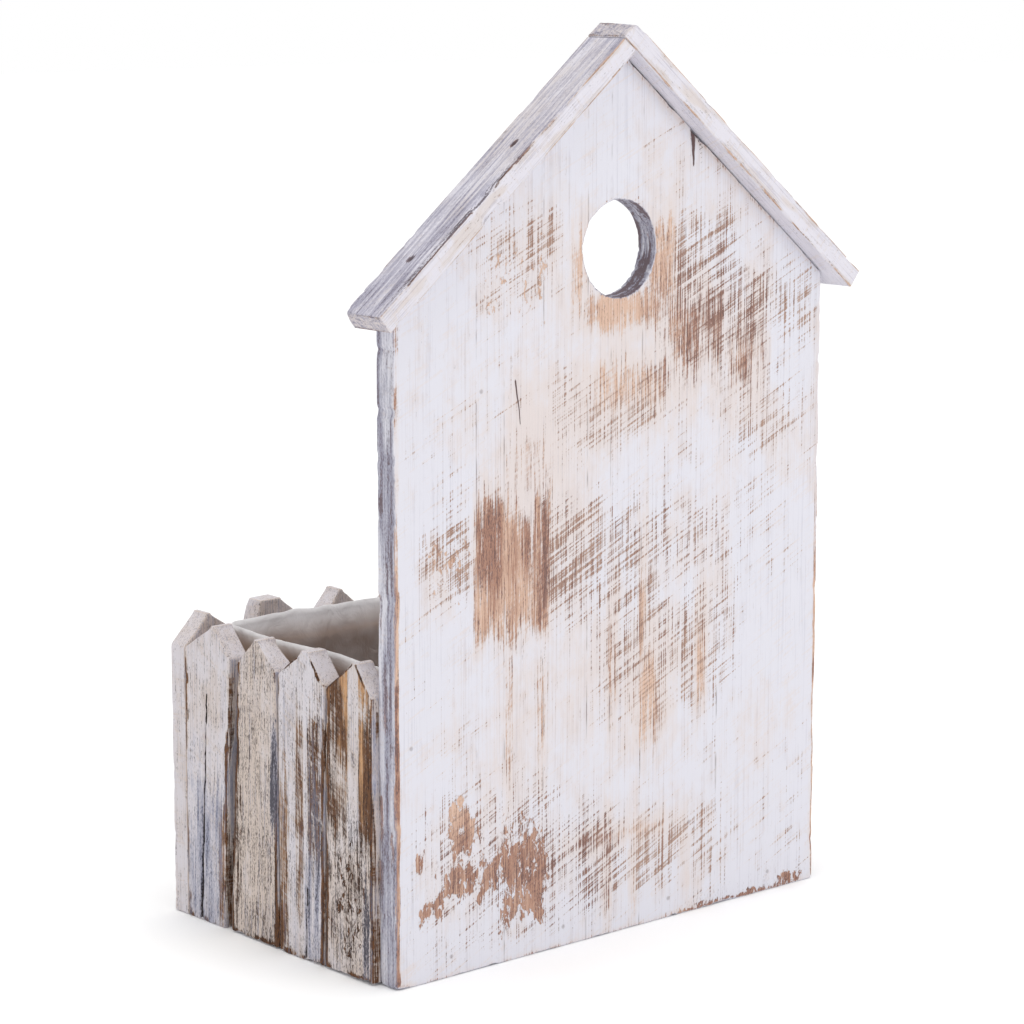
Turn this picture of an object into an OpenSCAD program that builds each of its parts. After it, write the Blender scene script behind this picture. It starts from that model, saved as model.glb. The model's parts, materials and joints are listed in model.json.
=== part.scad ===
// Birdhouse planter. A gabled back panel with a round entrance hole carries a lapped roof of two
// boards. In front of it stands a low box: a base board, three inner rails and a fence of pointed
// pickets on three sides, lined with thin plastic film. The fence faces -Y, Z is up, and the origin
// is on the ground under the middle of the outline. Left is -X and right is +X.

/* [Back panel] */
// Width of the panel
panel_w = 238; // [190:1:300]
// Height of the panel's sides, from the ground to the eaves
eave_h = 272; // [200:1:340]
// Thickness of the panel
panel_t = 10.8; // [8:0.2:18]
// Slope of the gable and of the roof boards, in degrees
roof_pitch = 39.2; // [30:0.2:44]
// Diameter of the entrance hole
hole_d = 40; // [20:1:60]
// Drop from the gable's peak to the middle of the hole
hole_drop = 80; // [70:0.5:110]

/* [Roof] */
// Thickness of the roof boards
roof_t = 8.8; // [6:0.2:16]
// How far the roof stands proud of the panel's back face
roof_back = 9.6; // [1:0.2:30]
// How far the roof stands proud of the panel's front face
roof_front = 2; // [0:0.5:40]
// How far the roof's underside reaches past the panel's sides
eave_overhang = 8.6; // [2:0.2:30]

/* [Fence] */
// Depth of the box, from the panel's front face to the fence's outer face
box_depth = 137; // [90:1:200]
// How far the side pickets stand out past the panel's sides
fence_proud = 3.7; // [0:0.1:6]
// Thickness of the pickets
picket_t = 10; // [7:0.5:14]
// Height of the pickets' shoulders
shoulder_h = 118; // [80:1:170]
// Rise from the shoulders to the points
point_rise = 12.5; // [6:0.5:24]
// Gap between neighbouring front pickets
front_gap = 3; // [0.5:0.1:5]
// Gap between neighbouring side pickets
side_gap = 1.3; // [0.5:0.1:4]
// Gap behind the foremost side picket, which leans
wide_gap = 5.2; // [0.5:0.1:7]

/* [Base and rails] */
// Thickness of the base board
base_t = 9; // [7:0.5:14]
// Height of the base board's underside above the ground
base_lift = 4; // [2:0.5:12]
// Height of the rails
rail_h = 16; // [10:1:24]
// Thickness of the rails
rail_t = 8; // [6.5:0.5:12]
// Drop from the pickets' shoulders to the top of the rails
rail_drop = 4; // [1:0.5:16]

/* [Liner] */
// Thickness of the film
liner_t = 0.6; // [0.3:0.1:1.5]
// How far the film's rim stands above the shoulders
liner_rise = 8; // [2:0.5:11]
// Clearance between the film and the walls it hangs against
liner_clear = 0.4; // [0.2:0.1:2]

/* [Fasteners] */
// Width of the brads' square wire
brad_w = 1.2; // [0.8:0.1:1.6]
// Width of the brads' heads
brad_head_w = 2.2; // [1.8:0.1:2.6]
// Height of the brads' heads
brad_head_h = 0.8; // [0.4:0.1:1.2]
// How deep the heads are set below the surface
brad_sink = 0.5; // [0.2:0.1:1]
// Distance of the outer brads from the ends of a board
brad_inset = 22; // [14:1:28]
// How far the picket brads bite into the rails and the base board
picket_bite = 6; // [3:0.5:6]
// How far the panel's brads bite into the base board and the rails
panel_bite = 14; // [8:1:20]
// How far the roof's brads bite into the panel
roof_bite = 12; // [8:1:16]
// How far the ridge's brads bite into the right roof board
ridge_bite = 10; // [6:1:11]
// Width of a staple's crown
staple_w = 10; // [6:0.5:12]
// Thickness of the staples' wire
staple_t = 0.7; // [0.5:0.1:0.9]
// How far the staples bite into the wood
staple_bite = 4; // [2:0.5:5]

/* [Hidden] */
// How many pickets stand along the front and along each side
FRONT = 7;
SIDE = 4;

// Hand-cut boards vary: how far each seam drifts along its wall, at the foot and at the
// shoulders, from the front rows' left end and from the side rows' front end
front_foot_drift = [0, 0.5, -0.7, 0.4, -0.5, 0.6, 0, 0];
front_head_drift = [0, -0.6, 0.4, -0.3, 0.6, -0.2, 0.4, 0];
right_foot_drift = [0, -3.2, 1, 0, 0];
right_head_drift = [0, 3.4, 1.5, 1.9, 0];
left_foot_drift = [0, -1.4, 0.8, -0.6, 0];
left_head_drift = [0, 1.2, -0.8, 0.9, 0];
// How far each point stands off its board's middle, how wide its blunt tip is, how much it
// rises above the usual height, and how far its foot stops short of the ground
front_point_shift = [-2, 1.5, -1, 0, 2.8, 6.4, 3.6];
front_tip_w = [2, 2, 3, 2, 2.4, 11, 2];
front_tip_lift = [0.4, 0, 0.6, 0.5, 0.8, 1.6, 0];
front_foot_rise = [0, 0.5, 0, 0.6, 0, 0.4, 0];
right_point_shift = [4, -0.4, 2.7, 3.7];
right_tip_w = [2, 2.4, 5, 3.2];
right_tip_lift = [-0.6, -1.4, -0.6, 0];
right_foot_rise = [0, 0.5, 0, 0.8];
left_point_shift = [1, -2, 0.6, -1.5];
left_tip_w = [2, 3, 2, 2.4];
left_tip_lift = [0, 0.5, -0.8, 0.3];
left_foot_rise = [0.5, 0, 0.6, 0];

// Places along Y, from the panel's back face to the fence's front face
depth = box_depth + panel_t + roof_back;
roof_y1 = depth / 2;
panel_y1 = roof_y1 - roof_back;
panel_y0 = panel_y1 - panel_t;
roof_y0 = panel_y0 - roof_front;
fence_y0 = panel_y0 - box_depth;
inner_y0 = fence_y0 + picket_t;
// Places along X and Z
fence_x = panel_w / 2 + fence_proud;
inner_x = fence_x - picket_t;
base_top = base_lift + base_t;
base_mid = base_lift + base_t / 2;
rail_top = shoulder_h - rail_drop;
rail_mid = rail_top - rail_h / 2;
peak_h = eave_h + panel_w / 2 * tan(roof_pitch);
hole_z = peak_h - hole_drop;
// Lengths of the fence's rows, and of the gable's slope on the panel and under the roof
front_run = 2 * fence_x;
side_run = panel_y0 - inner_y0;
slope_l = panel_w / 2 / cos(roof_pitch);
board_l = (panel_w / 2 + eave_overhang) / cos(roof_pitch);
// How far the lapping board's underside and top run on past the peak
lap_under = roof_t / sin(2 * roof_pitch);
lap_top = roof_t * tan(roof_pitch);
// Inner faces of the rails, which the liner hangs against
rail_x = inner_x - rail_t;
rail_y = inner_y0 + rail_t;
// Outer faces of the liner, and its rim
liner_x = rail_x - liner_clear;
liner_y0 = rail_y + liner_clear;
liner_y1 = panel_y0 - liner_clear;
liner_top = shoulder_h + liner_rise;
// A cut reaches this far past the face that it opens
OVER = 1;
$fn = 96;

// ---- Pickets ----

// Place of a seam along its wall, at the foot or at the shoulders
function seam(i, run, count, drift) = i * run / count + drift[i];

// Half the gap at a seam; the two ends of a row have none
function half_gap(i, count, gaps) = (i == 0 || i == count) ? 0 : gaps[i] / 2;

// The two edges of board i at one height, as [low, high]
function edges(i, run, count, drift, gaps) = [
    seam(i - 1, run, count, drift) + half_gap(i - 1, count, gaps),
    seam(i, run, count, drift) - half_gap(i, count, gaps)
];

// The middle of board i at height z, between its foot and its shoulders
function board_mid(foot, head, z) =
    (foot[0] + foot[1]) / 2 * (1 - z / shoulder_h) + (head[0] + head[1]) / 2 * z / shoulder_h;

function gaps_of(side) = [for (i = [0:SIDE]) i == 1 ? wide_gap : side_gap];
function front_foot(i) = edges(i, front_run, FRONT, front_foot_drift, [for (j = [0:FRONT]) front_gap]);
function front_head(i) = edges(i, front_run, FRONT, front_head_drift, [for (j = [0:FRONT]) front_gap]);
function side_foot(i, drift) = edges(i, side_run, SIDE, drift, gaps_of(SIDE));
function side_head(i, drift) = edges(i, side_run, SIDE, drift, gaps_of(SIDE));

// One pointed board with its width along X, its outer face at Y = 0 and its foot near the ground
module picket(foot, head, shift, tip_w, lift, rise) {
    tip = (head[0] + head[1]) / 2 + shift;
    tip_z = shoulder_h + point_rise + lift;
    translate([0, picket_t, 0]) rotate([90, 0, 0]) linear_extrude(picket_t) polygon([
        [foot[0], rise], [foot[1], rise], [head[1], shoulder_h],
        [tip + tip_w / 2, tip_z], [tip - tip_w / 2, tip_z], [head[0], shoulder_h]
    ]);
}

// The frame of each row: X runs along the wall and -Y faces out of it
module on_front() { translate([-fence_x, fence_y0, 0]) children(); }
module on_right() { translate([fence_x, inner_y0, 0]) rotate(90) children(); }
module on_left() { mirror([1, 0, 0]) on_right() children(); }

module front_picket(i) {
    j = i - 1;
    color("gainsboro") on_front() difference() {
        picket(front_foot(i), front_head(i), front_point_shift[j], front_tip_w[j],
            front_tip_lift[j], front_foot_rise[j]);
        picket_brads(front_foot(i), front_head(i), true);
    }
}

module right_picket(i) {
    j = i - 1;
    foot = side_foot(i, right_foot_drift);
    head = side_head(i, right_head_drift);
    color("linen") on_right() difference() {
        picket(foot, head, right_point_shift[j], right_tip_w[j], right_tip_lift[j], right_foot_rise[j]);
        picket_brads(foot, head, true);
    }
}

module left_picket(i) {
    j = i - 1;
    foot = side_foot(i, left_foot_drift);
    head = side_head(i, left_head_drift);
    color("linen") on_left() difference() {
        picket(foot, head, left_point_shift[j], left_tip_w[j], left_tip_lift[j], left_foot_rise[j]);
        picket_brads(foot, head, true);
    }
}

// ---- Fasteners ----

// A brad driven down from the surface at Z = 0 to a depth l. As a cut it also opens the wood
// above its head.
module brad(l, cut = false) {
    head_z = -brad_sink - brad_head_h;
    head_l = cut ? brad_head_h + brad_sink + OVER : brad_head_h;
    translate([-brad_head_w / 2, -brad_w / 2, head_z]) cube([brad_head_w, brad_w, head_l]);
    translate([-brad_w / 2, -brad_w / 2, -l]) cube([brad_w, brad_w, l + head_z]);
}

// The two brads of one picket: one into the base board and one into the rail
module picket_brads(foot, head, cut = false) {
    for (z = [base_mid, rail_mid])
        translate([board_mid(foot, head, z), 0, z]) rotate([90, 0, 0])
            brad(picket_t + picket_bite, cut);
}

module front_row_brads(cut = false) {
    on_front() for (i = [1:FRONT]) picket_brads(front_foot(i), front_head(i), cut);
}

module side_row_brads(foot_drift, head_drift, cut = false) {
    for (i = [1:SIDE]) picket_brads(side_foot(i, foot_drift), side_head(i, head_drift), cut);
}

module right_row_brads(cut = false) {
    on_right() side_row_brads(right_foot_drift, right_head_drift, cut);
}

module left_row_brads(cut = false) {
    on_left() side_row_brads(left_foot_drift, left_head_drift, cut);
}

// Brads through the panel: four into the base board's edge and one into each side rail's end,
// where they pass below the pickets' own brads
module panel_row_brads(cut = false) {
    outer = inner_x - brad_inset;
    for (x = [-outer, -outer / 3, outer / 3, outer])
        translate([x, panel_y1, base_mid]) rotate([-90, 0, 0]) brad(panel_t + panel_bite, cut);
    for (side = [-1, 1])
        translate([side * (rail_x + rail_t / 2), panel_y1, rail_mid - rail_h / 4])
            rotate([-90, 0, 0]) brad(panel_t + panel_bite, cut);
}

// Brads through the right roof board into the panel's sloping edge
module slope_brads(cut = false) {
    for (s = [brad_inset, slope_l / 2, slope_l - brad_inset])
        on_slope(s, roof_t, (panel_y0 + panel_y1) / 2) rotate([0, roof_pitch, 0])
            brad(roof_t + roof_bite, cut);
}

// Brads through the lapping board into the middle of the right board's end, along its length
module lap_brads(cut = false) {
    lap_s = roof_t * (cos(2 * roof_pitch) / 2 - 1) / sin(2 * roof_pitch);
    for (side = [-1, 1])
        on_slope(lap_s, roof_t / 2, (roof_y0 + roof_y1) / 2 + side * (roof_y1 - roof_y0) / 4)
            rotate([0, roof_pitch - 90, 0]) brad(lap_under + ridge_bite, cut);
}

// A staple: its crown lies on the surface at Z = 0 along X, and its legs go through the film
module staple() {
    leg = liner_t + liner_clear + staple_bite;
    translate([-staple_w / 2, -staple_t / 2, 0]) cube([staple_w, staple_t, staple_t]);
    for (x = [-staple_w / 2, staple_w / 2 - staple_t])
        translate([x, -staple_t / 2, -leg]) cube([staple_t, staple_t, leg]);
}

// All staples, above the pickets' brads: three in front, two on each side, two in the panel
module staples() {
    z = rail_mid + rail_h / 4;
    y_mid = (liner_y0 + liner_y1) / 2;
    y_step = (liner_y1 - liner_y0) / 4;
    for (x = [-2 / 3, 0, 2 / 3] * liner_x)
        translate([x, liner_y0 + liner_t, z]) rotate([-90, 0, 0]) staple();
    for (x = [-1 / 2, 1 / 2] * liner_x)
        translate([x, liner_y1 - liner_t, z]) rotate([90, 0, 0]) staple();
    for (side = [0, 1], step = [-1, 1]) mirror([side, 0, 0])
        translate([liner_x - liner_t, y_mid + step * y_step, z]) rotate([0, -90, 0]) rotate(90) staple();
}

module roof_brads() {
    color("darkgray") for (side = [0, 1]) mirror([side, 0, 0]) slope_brads();
}

module ridge_brads() { color("darkgray") lap_brads(); }
module panel_brads() { color("darkgray") panel_row_brads(); }
module front_picket_brads() { color("darkgray") front_row_brads(); }
module left_picket_brads() { color("darkgray") left_row_brads(); }
module right_picket_brads() { color("darkgray") right_row_brads(); }
module liner_staples() { color("silver") staples(); }

// ---- Panel and roof ----

// A point s down the right slope from the peak and h above the slope, as [x, z]
function slope_point(s, h) = [
    s * cos(roof_pitch) + h * sin(roof_pitch),
    peak_h - s * sin(roof_pitch) + h * cos(roof_pitch)
];

module on_slope(s, h, y) {
    p = slope_point(s, h);
    translate([p[0], y, p[1]]) children();
}

// An outline in X and Z, extruded from y0 to y1
module prism(outline, y0, y1) {
    translate([0, y1, 0]) rotate([90, 0, 0]) linear_extrude(y1 - y0) polygon(outline);
}

module back_panel() {
    half = panel_w / 2;
    color("white") difference() {
        prism([[-half, 0], [half, 0], [half, eave_h], [0, peak_h], [-half, eave_h]], panel_y0, panel_y1);
        translate([0, panel_y0 - OVER, hole_z]) rotate([-90, 0, 0])
            cylinder(d = hole_d, h = panel_t + 2 * OVER);
        for (side = [0, 1]) mirror([side, 0, 0]) slope_brads(true);
        panel_row_brads(true);
        staples();
    }
}

// The right board starts at the peak, cut to butt under the left board
module roof_board_right() {
    color("lightsteelblue") difference() {
        prism([
            slope_point(0, 0), slope_point(board_l, 0), slope_point(board_l, roof_t),
            slope_point(lap_under * cos(2 * roof_pitch), roof_t)
        ], roof_y0, roof_y1);
        slope_brads(true);
        lap_brads(true);
    }
}

// The left board laps over the right board's end, and is cut flush with its top
module roof_board_left() {
    color("lightsteelblue") difference() {
        mirror([1, 0, 0]) prism([
            slope_point(board_l, 0), slope_point(board_l, roof_t),
            slope_point(-lap_top, roof_t), slope_point(-lap_under, 0)
        ], roof_y0, roof_y1);
        mirror([1, 0, 0]) slope_brads(true);
        lap_brads(true);
    }
}

// ---- Base, rails and liner ----

// A block between two opposite corners
module block(low, high) { translate(low) cube(high - low); }

module base_board() {
    color("burlywood") difference() {
        block([-inner_x, inner_y0, base_lift], [inner_x, panel_y0, base_top]);
        front_row_brads(true);
        left_row_brads(true);
        right_row_brads(true);
        panel_row_brads(true);
    }
}

module front_rail() {
    color("burlywood") difference() {
        block([-inner_x, inner_y0, rail_top - rail_h], [inner_x, rail_y, rail_top]);
        front_row_brads(true);
        staples();
    }
}

// A side rail runs from the front rail to the panel
module side_rail() {
    difference() {
        block([rail_x, rail_y, rail_top - rail_h], [inner_x, panel_y0, rail_top]);
        panel_row_brads(true);
        staples();
        children();
    }
}

module right_rail() { color("burlywood") side_rail() right_row_brads(true); }
module left_rail() {
    color("burlywood") mirror([1, 0, 0]) side_rail() mirror([1, 0, 0]) left_row_brads(true);
}

// An open-topped bag of film that stands on the base board
module liner() {
    color("ghostwhite") difference() {
        block([-liner_x, liner_y0, base_top], [liner_x, liner_y1, liner_top]);
        block(
            [-liner_x + liner_t, liner_y0 + liner_t, base_top + liner_t],
            [liner_x - liner_t, liner_y1 - liner_t, liner_top + OVER]
        );
        staples();
    }
}

back_panel();
roof_board_left();
roof_board_right();
base_board();
front_rail();
left_rail();
right_rail();
liner();
for (i = [1:FRONT]) front_picket(i);
for (i = [1:SIDE]) left_picket(i);
for (i = [1:SIDE]) right_picket(i);
roof_brads();
ridge_brads();
panel_brads();
front_picket_brads();
left_picket_brads();
right_picket_brads();
liner_staples();
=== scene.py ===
"""A weathered birdhouse planter: gabled back panel, lapped roof, picket fence and film liner."""

import json
import logging
import math
from dataclasses import dataclass, field
from enum import Enum

import bpy
import numpy as np
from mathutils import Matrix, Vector
from mathutils.geometry import convex_hull_2d


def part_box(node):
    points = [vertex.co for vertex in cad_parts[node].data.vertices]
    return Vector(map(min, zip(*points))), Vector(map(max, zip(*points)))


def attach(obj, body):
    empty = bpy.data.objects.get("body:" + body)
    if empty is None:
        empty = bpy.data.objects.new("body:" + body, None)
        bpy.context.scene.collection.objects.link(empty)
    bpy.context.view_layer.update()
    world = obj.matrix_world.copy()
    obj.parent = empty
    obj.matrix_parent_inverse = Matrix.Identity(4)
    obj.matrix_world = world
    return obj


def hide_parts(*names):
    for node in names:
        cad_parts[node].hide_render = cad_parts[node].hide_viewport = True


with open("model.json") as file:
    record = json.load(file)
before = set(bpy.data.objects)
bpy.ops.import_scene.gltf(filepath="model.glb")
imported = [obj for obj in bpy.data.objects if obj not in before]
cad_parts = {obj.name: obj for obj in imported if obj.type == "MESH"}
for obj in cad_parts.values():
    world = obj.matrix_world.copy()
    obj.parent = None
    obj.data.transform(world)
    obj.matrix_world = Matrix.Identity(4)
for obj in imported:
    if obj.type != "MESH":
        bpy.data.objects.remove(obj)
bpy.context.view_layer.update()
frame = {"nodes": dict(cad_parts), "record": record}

Array = np.ndarray
Colour = tuple[float, float, float]
MM = 0.001
LOG = logging.getLogger("planter")


# ---- Numbers and random fields ----


def srgb(red: int, green: int, blue: int) -> Colour:
    """The linear colour of an 8-bit sRGB one."""
    parts = (c / 255 for c in (red, green, blue))
    return tuple(c / 12.92 if c <= 0.04045 else ((c + 0.055) / 1.055) ** 2.4 for c in parts)


def ease(x: Array, low: float, high: float) -> Array:
    """0 below low, 1 above high, and 3t^2 - 2t^3 between them."""
    t = np.clip((x - low) / (high - low), 0.0, 1.0)
    return t * t * (3.0 - 2.0 * t)


class RoughField:
    """A smooth random field over a plane, the same on every run.

    Random numbers stand at whole-number points, and eased steps join them.
    """

    SIZE = 128

    def __init__(self, seed: int) -> None:
        """Draws the numbers for one seed."""
        self.table = np.random.default_rng(seed).random((self.SIZE, self.SIZE))

    def at(self, x: Array, y: Array) -> Array:
        """The field's values, from 0 to 1.

        Args:
            x: First coordinates, one unit to a random number.
            y: Second coordinates.

        Returns:
            An array of the coordinates' shape.
        """
        x, y = np.broadcast_arrays(x, y)
        xi, yi = np.floor(x).astype(int), np.floor(y).astype(int)
        s, t = ease(x - xi, 0, 1), ease(y - yi, 0, 1)
        n = self.SIZE
        low = self.table[xi % n, yi % n] * (1 - s) + self.table[(xi + 1) % n, yi % n] * s
        high = self.table[xi % n, (yi + 1) % n] * (1 - s) + self.table[(xi + 1) % n, (yi + 1) % n] * s
        return low * (1 - t) + high * t

    def layered(self, x: Array, y: Array, layers: int = 3) -> Array:
        """The sum of fields, each twice as fine and half as strong as the last, from 0 to 1."""
        total = sum(self.at(x * 2**k + 17 * k, y * 2**k + 5 * k) / 2**k for k in range(layers))
        return total / sum(1 / 2**k for k in range(layers))


# ---- Where the coat is worn or stained ----


class Channel(Enum):
    """One kind of wear or stain, and its column in a coat."""

    BARE = 0
    HATCH = 1
    CHIP = 2
    BURN = 3
    WARM = 4
    COOL = 5


@dataclass(frozen=True)
class Patch:
    """A soft-edged area of wear on a face, with sizes in millimetres.

    across and along are its middle's place, half_w and half_l its half sizes, soft the share of
    those that its edge fades over, and ragged how far its edge wanders.
    """

    channel: Channel
    across: float
    along: float
    half_w: float
    half_l: float
    amount: float
    soft: float = 0.6
    ragged: float = 0.35


@dataclass(frozen=True)
class Hollow:
    """A small hollow pressed into a face, in millimetres.

    across and along are its middle's place, and half_w and half_l its half sizes. Its wall rises
    between the shares inner and outer of those.
    """

    across: float
    along: float
    half_w: float
    half_l: float
    depth: float
    inner: float
    outer: float

    def depth_at(self, across: Array, along: Array) -> Array:
        """How deep it is at places given in metres.

        Args:
            across: Places across the board.
            along: Places along it.

        Returns:
            The depth in metres, one to a point.
        """
        u = (across - self.across * MM) / (self.half_w * MM)
        v = (along - self.along * MM) / (self.half_l * MM)
        return self.depth * MM * (1 - ease(np.hypot(u, v), self.inner, self.outer))


@dataclass(frozen=True)
class Crack:
    """A split along the grain, in millimetres.

    It runs from foot to head along the board, from across_foot to across_head over it, and is
    width_foot and width_head wide at its ends.
    """

    across_foot: float
    across_head: float
    foot: float
    head: float
    width_foot: float
    width_head: float

    FAR = 8.0

    def gap(self, across: Array, along: Array, rough: RoughField) -> Array:
        """How far points lie from the crack.

        Args:
            across: Places across the board, in millimetres.
            along: Places along it.
            rough: The field that the line wanders with.

        Returns:
            Two numbers to a point: the signed distance from its line, with its width scaled to
            1.4, and the distance past its ends.
        """
        share = (along - self.foot) / (self.head - self.foot)
        inside = np.clip(share, 0, 1)
        path = self.across_foot + (self.across_head - self.across_foot) * inside
        path = path + 0.7 * (rough.layered(along / 6, 0 * along + 60, 2) - 0.5)
        width = self.width_foot + (self.width_head - self.width_foot) * inside
        aside = (across - path) * 1.4 / width
        past = np.maximum(np.maximum(self.foot - along, along - self.head), 0) * 2
        past = past + self.FAR * ease(np.abs(across - path), 4, 6)
        return np.stack([aside, past], axis=-1)


def nearest_crack(cracks: tuple[Crack, ...], across: Array, along: Array, rough: RoughField) -> Array:
    """How far points lie from the nearest of some cracks.

    Args:
        cracks: The cracks; there may be none.
        across: Places across the board, in millimetres.
        along: Places along it.
        rough: The field that the lines wander with.

    Returns:
        The nearest crack's two distances to a point, as Crack.gap gives them.
    """
    if not cracks:
        return np.full(across.shape + (2,), Crack.FAR)
    stack = np.stack([crack.gap(across, along, rough) for crack in cracks])
    nearest = np.abs(stack).sum(axis=-1).argmin(axis=0)
    return np.take_along_axis(stack, nearest[None, ..., None], axis=0)[0]


class Coat:
    """How worn or stained each point of one piece is, one column to a channel."""

    def __init__(self, across: Array, along: Array, seed: int) -> None:
        """Starts a clean coat.

        Args:
            across: The points' places across the piece, in metres.
            along: Their places along it.
            seed: Seed of the noise that its patches are roughened with.
        """
        self.across, self.along = across / MM, along / MM
        self.rough = RoughField(seed)
        self.values = np.zeros(across.shape + (len(Channel),))
        self.split = np.full(across.shape + (2,), Crack.FAR)

    def lay(self, channel: Channel, amount: Array | float) -> None:
        """Raises a channel to at least this amount."""
        column = self.values[..., channel.value]
        np.maximum(column, amount, out=column)

    def clear(self, channel: Channel, share: Array | float) -> None:
        """Scales a channel down to this share of itself."""
        self.values[..., channel.value] *= share

    def spread(self, patch: Patch, where: Array | float = 1.0) -> None:
        """Lays a patch: its strength falls off past its half sizes, at an edge that wanders.

        Args:
            patch: The area and how worn it is; a negative amount clears the channel there.
            where: A mask from 0 to 1 that limits it to some faces.
        """
        u = np.abs(self.across - patch.across) / patch.half_w
        v = np.abs(self.along - patch.along) / patch.half_l
        with_grain = patch.channel in (Channel.BARE, Channel.BURN)
        size = (2.2, 30) if with_grain else (7, 10)
        u_field, v_field = self.across / size[0] + patch.across, self.along / size[1] + patch.along
        wander = self.rough.layered(u_field, v_field, 4) - 0.5
        mask = 1 - ease(u + 1.2 * patch.ragged * wander, 1 - 0.6 * patch.soft, 1 + 0.4 * patch.soft)
        mask = mask * (1 - ease(v + 2.4 * patch.ragged * wander, 1 - patch.soft, 1 + 0.6 * patch.soft))
        mask = mask * where
        if patch.amount < 0:
            self.clear(patch.channel, 1 + patch.amount * mask)
        else:
            self.lay(patch.channel, patch.amount * mask)

    def fields(self) -> dict[str, Array]:
        """The coat as named point attributes: two vectors of three channels, and the cracks, with the panel's
        painted shadow line under the -X roof board.
        """
        split = np.insert(self.split, 2, 0, axis=-1)
        return {"wear": self.values[..., 0:3], "tint": self.values[..., 3:6], "split": split}


# ---- Surfaces ----


@dataclass
class Surface:
    """A grid of points that closes on itself, with one value of each field to a point.

    Columns always run round to the first. Rows do too if ring is True; otherwise each end row
    closes on a pole at its middle.
    """

    points: Array
    fields: dict[str, Array]
    ring: bool = False

    def build(self, name: str) -> bpy.types.Object:
        """Makes the object: quads between neighbouring points, facing out.

        Args:
            name: The piece's name.

        Returns:
            A mesh object at the origin, smooth, with the fields as point attributes.
        """
        rows, columns = self.points.shape[:2]
        index = np.arange(rows * columns).reshape(rows, columns)
        if self.ring:
            index = np.vstack([index, index[:1]])
        beside = np.roll(index, -1, axis=1)
        quads = np.stack([index[:-1], beside[:-1], beside[1:], index[1:]], axis=-1).reshape(-1, 4)
        verts = self.points.reshape(-1, 3)
        fans = np.empty((0, 3), dtype=int)
        if not self.ring:
            verts = np.vstack([verts, self.points[[0, -1]].mean(axis=1)])
            pole = np.full(columns, rows * columns)
            fans = np.vstack([
                np.stack([beside[0], index[0], pole], axis=-1),
                np.stack([index[-1], beside[-1], pole + 1], axis=-1),
            ])
        halves = np.vstack([quads[:, [0, 1, 2]], quads[:, [0, 2, 3]], fans])
        a, b, c = (verts[halves[:, k]] for k in range(3))
        if np.einsum("ij,ij->", np.cross(a, b), c) < 0:
            quads, fans = quads[:, ::-1], fans[:, ::-1]
        mesh = bpy.data.meshes.new(name)
        mesh.from_pydata(verts.tolist(), [], quads.tolist() + fans.tolist())
        mesh.polygons.foreach_set("use_smooth", np.ones(len(mesh.polygons), dtype=bool))
        for label, values in self.fields.items():
            self._note(mesh, label, values)
        mesh.update()
        made = bpy.data.objects.new(name, mesh)
        bpy.context.scene.collection.objects.link(made)
        return made

    def _note(self, mesh: bpy.types.Mesh, label: str, values: Array) -> None:
        """Stores one field as a point attribute; a pole has the mean of its row.

        Args:
            mesh: The piece's mesh.
            label: The attribute's name.
            values: The field, with one number or a vector of three to a point.
        """
        flat = values.reshape(self.points.shape[0] * self.points.shape[1], -1)
        if not self.ring:
            ends = values[[0, -1]].mean(axis=1).reshape(2, -1)
            flat = np.vstack([flat, ends])
        kind, key = ("FLOAT", "value") if flat.shape[1] == 1 else ("FLOAT_VECTOR", "vector")
        mesh.attributes.new(label, kind, "POINT").data.foreach_set(key, flat.astype(np.float32).ravel())


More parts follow.
